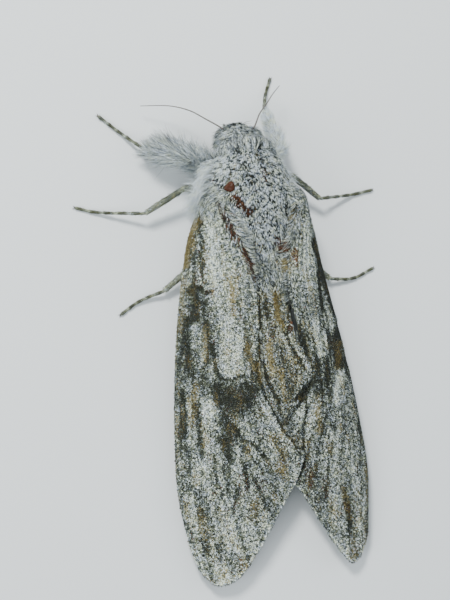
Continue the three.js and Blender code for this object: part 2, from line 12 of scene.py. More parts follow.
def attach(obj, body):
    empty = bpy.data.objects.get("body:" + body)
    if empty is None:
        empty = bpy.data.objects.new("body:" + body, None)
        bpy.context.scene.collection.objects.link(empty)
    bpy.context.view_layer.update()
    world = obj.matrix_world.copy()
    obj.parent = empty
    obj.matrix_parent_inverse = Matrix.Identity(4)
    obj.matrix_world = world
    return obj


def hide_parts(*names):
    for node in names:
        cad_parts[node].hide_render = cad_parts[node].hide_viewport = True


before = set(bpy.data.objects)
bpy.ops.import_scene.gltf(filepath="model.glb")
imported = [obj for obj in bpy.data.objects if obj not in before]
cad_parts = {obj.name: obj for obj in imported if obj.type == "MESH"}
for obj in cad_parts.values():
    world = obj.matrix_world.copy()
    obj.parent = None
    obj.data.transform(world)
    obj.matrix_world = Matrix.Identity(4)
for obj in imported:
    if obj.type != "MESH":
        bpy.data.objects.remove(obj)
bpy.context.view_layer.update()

# ---------------------------------------------------------------- sizes, as in the solids
PLAN_CENTRE = np.array([-2.15, -28.27, 0.0])
MM = 0.001
LEFT, RIGHT = -1.0, 1.0
UP = np.array([0.0, 0.0, 1.0])
FLOOR_CLEAR = 0.03

# [y, height of the middle, half width, rise above the middle, drop below it], tail to head
THORAX_ROWS = np.array([
    [-17.4, 9.4, 0.3, 0.3, 0.3], [-16.6, 9.4, 3.0, 4.4, 3.6], [-14.0, 9.5, 5.6, 6.3, 5.2],
    [-10.0, 9.8, 8.2, 8.0, 6.6], [-5.0, 10.0, 9.8, 8.9, 7.3], [0.0, 10.1, 10.2, 9.2, 7.5],
    [4.0, 10.0, 9.3, 8.8, 7.2], [7.5, 9.6, 7.7, 7.9, 6.5], [9.8, 9.3, 5.9, 6.4, 5.1],
    [11.1, 9.1, 3.9, 4.2, 3.4], [11.7, 9.0, 1.9, 2.0, 1.7], [11.9, 9.0, 0.3, 0.3, 0.3],
])
ABDOMEN_ROWS = np.array([
    [-44.6, 6.6, 0.3, 0.3, 0.3], [-44.0, 6.6, 2.6, 2.7, 2.7], [-42.0, 6.6, 4.4, 4.4, 4.9],
    [-38.5, 6.6, 6.2, 5.4, 6.5], [-33.0, 6.6, 7.4, 6.0, 6.75], [-25.0, 6.8, 7.9, 6.2, 6.5],
    [-18.0, 7.3, 7.7, 6.3, 6.1], [-12.0, 8.0, 6.4, 5.8, 5.2], [-9.0, 8.6, 4.0, 4.0, 3.6],
    [-8.0, 8.6, 0.3, 0.3, 0.3],
])
HEAD_ROWS = np.array([
    [8.4, 8.6, 0.3, 0.3, 0.3], [9.0, 8.6, 2.8, 2.8, 2.8], [11.2, 8.6, 4.1, 3.9, 4.1],
    [13.2, 8.4, 4.1, 3.7, 4.0], [14.6, 8.1, 3.2, 2.9, 3.3], [15.5, 7.9, 1.7, 1.6, 1.8],
    [15.8, 7.9, 0.3, 0.3, 0.3],
])
HEAD_ASIDE = -0.8
THORAX_SINK, ABDOMEN_SINK, HEAD_SINK = 0.8, 0.7, 0.7  # how deep the skin lies under the coat
ABDOMEN_SEGMENTS, SEGMENT_STEP = 7, 0.4
BARE_SPOT = np.array([-6.1, 1.4])  # where the fur of the back is rubbed off
BARE_RADIUS = 1.15
WHITE_STRIP = (-7.3, -2.6, -6.4, -4.1, -5.4, -5.7, -4.4, -7.5)  # a line of white hair: x, y, x, y, ...

CAMBER = 3.1
MEMBRANE = 0.34
CAD_MEMBRANE = 0.55
VEINS = np.array([0.09, 0.2, 0.31, 0.42, 0.53, 0.64, 0.76, 0.88])
VEIN_HEIGHT = 0.26
VEIN_HALF_WIDTH = 0.016  # as a share of the wing's width
HIND_DROP = 1.45
COSTA = (
    (7.6, 1.6, 10.6), (10.9, -0.6, 10.0), (12.8, -4.5, 8.2), (14.4, -9.0, 6.4), (15.7, -14.5, 5.3),
    (17.9, -25.0, 4.2), (19.8, -36.5, 3.4), (21.5, -51.0, 2.8), (22.3, -63.0, 2.6), (21.1, -75.0, 2.4),
)
APEX = ((21.1, -75.0, 2.4), (19.3, -80.7, 2.3), (16.1, -84.0, 2.4))
INNER = {
    LEFT: (
        (6.0, 0.0, 15.2), (8.4, -3.2, 16.7), (7.2, -7.4, 17.0), (5.4, -11.3, 17.0), (3.4, -19.0, 16.0),
        (3.3, -31.0, 14.8), (3.3, -42.8, 13.2), (-1.0, -51.7, 11.2), (-5.2, -58.3, 9.2),
    ),
    RIGHT: (
        (6.0, 0.0, 15.2), (8.4, -3.2, 16.7), (7.0, -8.4, 16.9), (4.9, -16.0, 16.4), (4.5, -22.0, 15.8),
        (6.4, -35.3, 13.8), (6.8, -42.0, 12.2), (2.6, -49.2, 9.9), (0.2, -55.0, 8.6), (0.6, -60.0, 7.2),
    ),
}
TERMEN = {
    LEFT: (
        (11.7, -83.1, 3.1), (6.6, -77.5, 4.6), (0.9, -69.1, 6.6), (-3.2, -63.2, 8.0), (-5.2, -58.3, 9.2),
    ),
    RIGHT: ((12.3, -79.6, 3.4), (7.8, -71.6, 4.8), (3.6, -64.1, 6.2), (0.6, -60.0, 7.2)),
}
SIDES = {"left": LEFT, "right": RIGHT}
# The left forewing's inner field, past its fold: its edge, which lies over the right wing's own.
FIELD_EDGE = (
    (4.2, -16.8, 15.9), (3.8, -22.0, 15.4), (4.2, -27.0, 14.9), (4.9, -32.0, 14.6), (6.5, -36.0, 14.8),
    (7.9, -39.3, 14.1), (7.6, -41.5, 13.6), (6.4, -43.3, 13.0), (5.4, -45.6, 12.4), (3.4, -48.5, 11.7),
    (1.6, -50.8, 11.4), (0.9, -53.2, 10.1),
)
FIELD_REACH = (0.29, 0.875)  # where it leaves the wing, as shares of the wing's length
FIELD_FOLD = 0.94  # and of its width
FIELD_SAG = 0.3

# Legs: [out from the middle, y, z] of each joint; the forelegs' brushes have a hair length too.
LEGS = {
    "fore_left": dict(
        side=LEFT, coxa=(1.9, 8.6, 3.0), hip=(4.6, 6.6, 3.2), knee=(12.4, 9.6, 7.0),
        ankle=(20.6, 12.7, 2.7), tarsus=((24.6, 16.6, 0.75), (29.3, 21.0, 0.27)), coat=5.0,
    ),
    "fore_right": dict(
        side=RIGHT, coxa=(1.9, 8.6, 3.0), hip=(4.6, 6.4, 3.2), knee=(9.6, 9.4, 7.2),
        ankle=(8.1, 19.0, 3.0), tarsus=((9.5, 22.6, 0.8), (11.3, 26.4, 0.27)), coat=2.7,
    ),
    "mid_left": dict(
        side=LEFT, coxa=(1.9, 3.6, 1.9), hip=(5.4, 1.2, 2.6), knee=(13.3, 3.0, 6.1),
        ankle=(22.3, -1.5, 3.6), tarsus=((32.7, 0.1, 0.6), (36.9, 1.5, 0.27)), coat=0,
    ),
    "mid_right": dict(
        side=RIGHT, coxa=(1.9, 3.6, 1.9), hip=(5.4, 1.2, 2.6), knee=(11.4, 3.6, 6.6),
        ankle=(18.3, -2.0, 4.2), tarsus=((27.5, -1.5, 0.7), (32.7, -0.9, 0.27)), coat=0,
    ),
    "hind_left": dict(
        side=LEFT, coxa=(1.9, -4.6, 2.0), hip=(5.2, -7.4, 2.6), knee=(10.8, -12.6, 4.4),
        ankle=(19.7, -18.7, 1.75), tarsus=((25.6, -20.5, 0.55), (29.7, -22.8, 0.27)), coat=0,
    ),
    "hind_right": dict(
        side=RIGHT, coxa=(1.9, -4.6, 2.0), hip=(5.2, -7.4, 2.6), knee=(10.8, -13.2, 4.4),
        ankle=(19.4, -20.2, 1.75), tarsus=((25.4, -20.6, 0.55), (30.6, -18.8, 0.27)), coat=0,
    ),
}
TARSOMERES = 5
ANTENNAE = {
    "left": (
        (-3.4, 14.0, 9.6), (-4.9, 15.1, 10.2), (-7.7, 17.3, 9.2), (-10.4, 19.5, 7.7), (-14.2, 21.2, 5.7),
        (-20.3, 22.1, 3.2),
    ),
    "right": (
        (1.2, 13.4, 9.9), (2.5, 14.2, 10.6), (4.6, 17.4, 9.9), (6.8, 19.6, 9.0), (8.8, 21.7, 7.9),
        (11.3, 23.8, 6.2),
    ),
}
PALPS = {"left": (-2.2, -2.7), "right": (0.6, 1.1)}  # x at the root and at the tip
EYE_RADIUS = 1.9


# ---------------------------------------------------------------- working tools
def unit(v):
    """Directions of length 1."""
    return v / np.maximum(np.linalg.norm(v, axis=-1, keepdims=True), 1e-9)


def smooth(x, low, high):
    """0 below `low`, 1 above `high`, and a smooth step of 3 t^2 - 2 t^3 between them."""
    t = np.clip((x - low) / (high - low), 0, 1)
    return t * t * (3 - 2 * t)


def hump(x, middle, half):
    """A soft hump of height 1 about a middle."""
    return np.exp(-(((x - middle) / half) ** 2))


def parts(p):
    """The x, y and z of points."""
    return p[..., 0], p[..., 1], p[..., 2]


def directions(*values):
    """Directions or places from their parts, each a number or one for each point."""
    return np.stack(np.broadcast_arrays(*values), -1)


def turns(count):
    """Even angles round a circle."""
    return np.linspace(0, 2 * np.pi, count, endpoint=False)


def ball(rows, columns):
    """The angles of a ball's points: the rise of each row and the turn of each column."""
    return np.linspace(-np.pi / 2 + 0.05, np.pi / 2 - 0.05, rows)[:, None], turns(columns)[None, :]


class Drift:
    """Smooth chance over a plane, from -0.5 to 0.5: a lattice of draws, blended between its corners."""

    def __init__(self, seed):
        self.draws = np.random.default_rng(seed).random((64, 64))

    def __call__(self, x, y):
        """The blend of the four draws around each place."""
        i, j = np.floor(x).astype(int), np.floor(y).astype(int)
        f, g = smooth(x - i, 0, 1), smooth(y - j, 0, 1)
        at = lambda a, b: self.draws[(i + a) % 64, (j + b) % 64]
        low = at(0, 0) * (1 - f) + at(1, 0) * f
        high = at(0, 1) * (1 - f) + at(1, 1) * f
        return low * (1 - g) + high * g - 0.5


class Curve:
    """A centripetal Catmull-Rom curve through points, read by the share of its length."""

    def __init__(self, points):
        p = np.asarray(points, float)
        self.points = np.vstack([2 * p[0] - p[1], p, 2 * p[-1] - p[-2]])
        self.share = np.linspace(0, 1, 401)
        steps = np.linalg.norm(np.diff(self.raw(self.share), axis=0), axis=1)
        self.run = np.concatenate([[0], np.cumsum(steps)])

    def raw(self, share):
        """Points at shares of the number of spans: on each span a cubic with centripetal slopes."""
        count = len(self.points) - 3
        x = np.clip(share, 0, 1) * count
        i = np.minimum(x.astype(int), count - 1)
        f = (x - i)[..., None]
        p0, p1, p2, p3 = (self.points[i + k] for k in range(4))
        spans = ((p0, p1), (p1, p2), (p2, p3))
        d0, d1, d2 = (np.sum((b - a) ** 2, -1)[..., None] ** 0.25 for a, b in spans)
        t1 = d1 * ((p1 - p0) / d0 - (p2 - p0) / (d0 + d1) + (p2 - p1) / d1)
        t2 = d1 * ((p2 - p1) / d1 - (p3 - p1) / (d1 + d2) + (p3 - p2) / d2)
        a, b = 3 * (p2 - p1) - 2 * t1 - t2, 2 * (p1 - p2) + t1 + t2
        return p1 + f * (t1 + f * (a + f * b))

    def at(self, share):
        """Points at shares of the length."""
        return self.raw(np.interp(np.asarray(share, float) * self.run[-1], self.run, self.share))


class Grid:
    """A surface as a grid of points: rows along it, columns across it or, on a ring, around it."""

    def __init__(self, points, ring=False, flip=False):
        self.points = points
        self.full = np.concatenate([points, points[:, :1]], 1) if ring else points
        along = np.gradient(self.full, axis=0)
        across = np.gradient(self.full, axis=1)
        if ring:
            seam = (self.full[:, 1] - self.full[:, -2]) / 2
            across[:, 0] = across[:, -1] = seam
        self.cross = np.cross(along, across) * (-1 if flip else 1)
        self.out = unit(self.cross)
        self.along, self.across = unit(along), unit(across)

    def spread(self, count, draw, weight=None):
        """Draws (u, v), shares of the rows and columns, as dense as each cell's area times its weight."""
        area = np.linalg.norm(self.cross, axis=-1)
        if weight is not None:
            area = area * np.maximum(weight, 0)
        cells = (area[:-1, :-1] + area[1:, :-1] + area[:-1, 1:] + area[1:, 1:]).ravel()
        pick = draw.choice(cells.size, count, p=cells / cells.sum())
        i, j = np.divmod(pick, area.shape[1] - 1)
        u = (i + draw.random(count)) / (area.shape[0] - 1)
        return u, (j + draw.random(count)) / (area.shape[1] - 1)

    def read(self, field, u, v):
        """A field over the grid at (u, v), blended between the corners of each cell."""
        rows, columns = self.full.shape[:2]
        x, y = np.clip(u, 0, 1) * (rows - 1), np.clip(v, 0, 1) * (columns - 1)
        i, j = np.minimum(x.astype(int), rows - 2), np.minimum(y.astype(int), columns - 2)
        f, g = x - i, y - j
        if field.ndim == 3:
            f, g = f[:, None], g[:, None]
        low = field[i, j] * (1 - f) + field[i + 1, j] * f
        high = field[i, j + 1] * (1 - f) + field[i + 1, j + 1] * f
        return low * (1 - g) + high * g

    def at(self, u, v):
        """The points at (u, v), and the directions out, along and across there."""
        return [self.read(field, u, v) for field in (self.full, self.out, self.along, self.across)]


def upright(grid):
    """The grid, with its outward directions turned up."""
    grid.out = unit(grid.out * np.where(grid.out[..., 2:] < 0, -1, 1))
    return grid


def shares(rows, columns, start=0.0):
    """The shares of the way along and across at each point of a grid."""
    return np.meshgrid(np.linspace(start, 1, rows), np.linspace(0, 1, columns), indexing="ij")


def quads(rows, columns, ring):
    """The quads of a grid of points, on a ring also those that close it."""
    i, j = np.meshgrid(np.arange(rows - 1), np.arange(columns if ring else columns - 1), indexing="ij")
    k = (j + 1) % columns
    corners = [i * columns + j, (i + 1) * columns + j, (i + 1) * columns + k, i * columns + k]
    return np.stack(corners, -1).reshape(-1, 4)


def closed_loft(grid):
    """A ring grid's points and faces, its two ends closed by a point each."""
    rows, columns = grid.points.shape[:2]
    points = grid.points.reshape(-1, 3)
    ends = np.stack([grid.points[0].mean(0), grid.points[-1].mean(0)])
    j = np.arange(columns)
    k = (j + 1) % columns
    tail = np.stack([np.full(columns, len(points)), j, k], 1)
    last = (rows - 1) * columns
    head = np.stack([np.full(columns, len(points) + 1), last + k, last + j], 1)
    return np.vstack([points, ends]), [quads(rows, columns, True), np.vstack([tail, head])]


def sweep(path, radius, around):
    """A ring grid: a circle of the given radius stood across each point of a path."""
    ahead = unit(np.gradient(path, axis=0))
    side = unit(np.cross(ahead, UP))
    top = np.cross(side, ahead)
    turn = turns(around)[:, None]
    ring = side[:, None] * np.cos(turn) + top[:, None] * np.sin(turn)
    return Grid(path[:, None] + radius[:, None, None] * ring, ring=True)


def track(rows, y):
    """The columns of a table at each y, on cubics through its rows with slopes from both neighbours."""
    places, values = rows[:, 0], rows[:, 1:]
    slopes = np.gradient(values, places, axis=0)
    i = np.clip(np.searchsorted(places, y) - 1, 0, len(places) - 2)
    step = (places[i + 1] - places[i])[..., None]
    f = np.clip((y - places[i]) / step[..., 0], 0, 1)[..., None]
    a, b, m, n = values[i], values[i + 1], slopes[i] * step, slopes[i + 1] * step
    made = a + f * (m + f * (3 * (b - a) - 2 * m - n + f * (2 * (a - b) + m + n)))
    return np.moveaxis(made, -1, 0)


# ---------------------------------------------------------------- making pieces
def linked(name, data):
    """An object of a mesh, light or camera, put into the scene."""
    made = bpy.data.objects.new(name, data)
    bpy.context.scene.collection.objects.link(made)
    return made


def piece(name, points, faces, material, slot, marks, stands_for=(), bake=None, soft=True):
    """A mesh piece that rides on the body, with a value at each point for each of its marks."""
    mesh = bpy.data.meshes.new(name)
    mesh.vertices.add(len(points))
    mesh.vertices.foreach_set("co", ((points - PLAN_CENTRE) * MM).astype(np.float32).ravel())
    corners = np.concatenate([one.ravel() for one in faces]).astype(np.int32)
    counts = np.concatenate([np.full(len(one), one.shape[1]) for one in faces])
    mesh.loops.add(len(corners))
    mesh.loops.foreach_set("vertex_index", corners)
    mesh.polygons.add(len(counts))
    mesh.polygons.foreach_set("loop_start", (np.cumsum(counts) - counts).astype(np.int32))
    mesh.update(calc_edges=True)
    mesh.polygons.foreach_set("use_smooth", np.full(len(counts), soft))
    for mark, values in marks.items():
        layer = mesh.attributes.new(mark, "FLOAT", "POINT")
        layer.data.foreach_set("value", np.broadcast_to(values, len(points)).astype(np.float32))
    if bake is not None:
        layer = mesh.uv_layers.new(name="OFBake")
        layer.data.foreach_set("uv", bake[corners].astype(np.float32).ravel())
    mesh.materials.append(material)
    made = linked(name, mesh)
    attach(made, "root")
    if stands_for:
        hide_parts(*stands_for)


PATCH = 0.003  # how wide each tuft's patch is on the coat's map
BAND = 0.45  # a tuft's girth is full up to about here
FLATNESS = 0.45  # a tuft's height as a share of its width
TUFT_SIDES = np.array([[0, 3, 4, 1], [1, 4, 5, 2], [2, 5, 3, 0]])
TUFT_ENDS = np.array([[3, 6, 4], [4, 6, 5], [5, 6, 3], [0, 1, 2]])
SCALE_FACES = np.array([[0, 1, 3], [0, 3, 2], [0, 2, 1], [1, 2, 3]])


def laid(lie, out):
    """Directions laid into the plane across the outward ones, and those to their side."""
    lie = unit(lie - out * np.sum(lie * out, -1, keepdims=True))
    return lie, np.cross(lie, out)


def repeated(faces, count, each):
    """One tuft's or scale's faces, for all of them."""
    return (faces + (np.arange(count) * each)[:, None, None]).reshape(-1, faces.shape[1])


def tuft_shape(root, out, lie, length, width, rise, middle=0.5, sink=0.25, taper=0.55):
    """Tapered blades of three sides. Each leaves its root at an angle of `rise` to its lie and bends
    down to it at the tip: the angle falls evenly, so along = L (sin rise - sin angle) / rise and
    lift = L (cos angle - cos rise) / rise."""
    count = len(root)
    lie, side = laid(lie, out)
    t = np.array([[0.0, middle, 1.0]])
    rise = np.broadcast_to(np.maximum(rise, 0.05), count)[:, None]
    angle = rise * (1 - t)
    tall = (length + sink)[:, None]
    along = (tall * (np.sin(rise) - np.sin(angle)) / rise)[..., None]
    lift = (tall * (np.cos(angle) - np.cos(rise)) / rise)[..., None]
    spine = (root - out * sink)[:, None] + lie[:, None] * along + out[:, None] * lift
    face = out[:, None] * np.cos(angle)[..., None] - lie[:, None] * np.sin(angle)[..., None]
    half = np.broadcast_to(width / 2, count)[:, None]
    girth = (0.8 + 0.2 * smooth(t, 0, BAND)) * (1 - t) ** taper * half
    turn = np.radians([90.0, 210.0, 330.0])
    ring = (
        spine[:, :2, None]
        + side[:, None, None] * (girth[:, :2, None] * np.cos(turn))[..., None]
        + face[:, :2, None] * (girth[:, :2, None] * FLATNESS * np.sin(turn))[..., None]
    )
    points = np.concatenate([ring.reshape(count, 6, 3), spine[:, 2:]], 1)
    reach = np.broadcast_to([0.0] * 3 + [middle] * 3 + [1.0], (count, 7))
    return points, [repeated(TUFT_SIDES, count, 7), repeated(TUFT_ENDS, count, 7)], reach


def scale_shape(root, out, lie, length, width, lift):
    """Flat kite scales of four faces: a ridge from the sunk root to the raised tip, and a corner to each
    side of it."""
    lie, side = laid(lie, out)
    waist, half = root + lie * length[:, None] * 0.55, side * width[:, None] / 2
    tip = root + lie * length[:, None] + out * lift[:, None]
    points = np.stack([root - out * 0.05, waist + half, waist - half, tip], 1)
    reach = np.broadcast_to([0.0, 0.6, 0.6, 1.0], (len(root), 4))
    return points, [repeated(SCALE_FACES, len(root), 4)], reach


def coat(name, shape, uv, marks, material, slot, soft=True, lay=None, cool=0.0):
    """A piece of many tufts or scales from one of the shapes above; `lay` may move their points."""
    points, faces, reach = shape
    count, each = points.shape[:2]
    if lay:
        points = lay(points)
    points[..., 2] = np.maximum(points[..., 2], FLOOR_CLEAR)
    beside = (np.arange(each) % 3)[None, :] / 2 - 0.5
    bake = directions(uv[0][:, None] + PATCH * (reach - 0.5), uv[1][:, None] + PATCH * beside)
    marks = {mark: marks.get(mark, 0.0) for mark in ("pale", "rust", "ochre")}
    marks["tint"] = cool + (1 - cool) * np.random.default_rng(count).random(count)
    values = {mark: np.repeat(np.broadcast_to(value, count), each) for mark, value in marks.items()}
    piece(
        name, points.reshape(-1, 3), faces, material, slot, values | {"reach": reach.ravel()},
        bake=np.clip(bake, 0, 1).reshape(-1, 2), soft=soft,
    )


def swayed(lie, out, draw, amount, more=0.0):
    """Directions turned about the outward ones, each by a chance of its own and what is added to it."""
    angle = draw.normal(0, amount, len(out)) + more
    lie = unit(lie)
    return lie * np.cos(angle)[:, None] + np.cross(out, lie) * np.sin(angle)[:, None]


# ---------------------------------------------------------------- markings
STREAK, FINE, CLOUD, BLOTCH = Drift(3), Drift(5), Drift(8), Drift(13)

PALE, RUST, OCHRE = 0, 1, 2
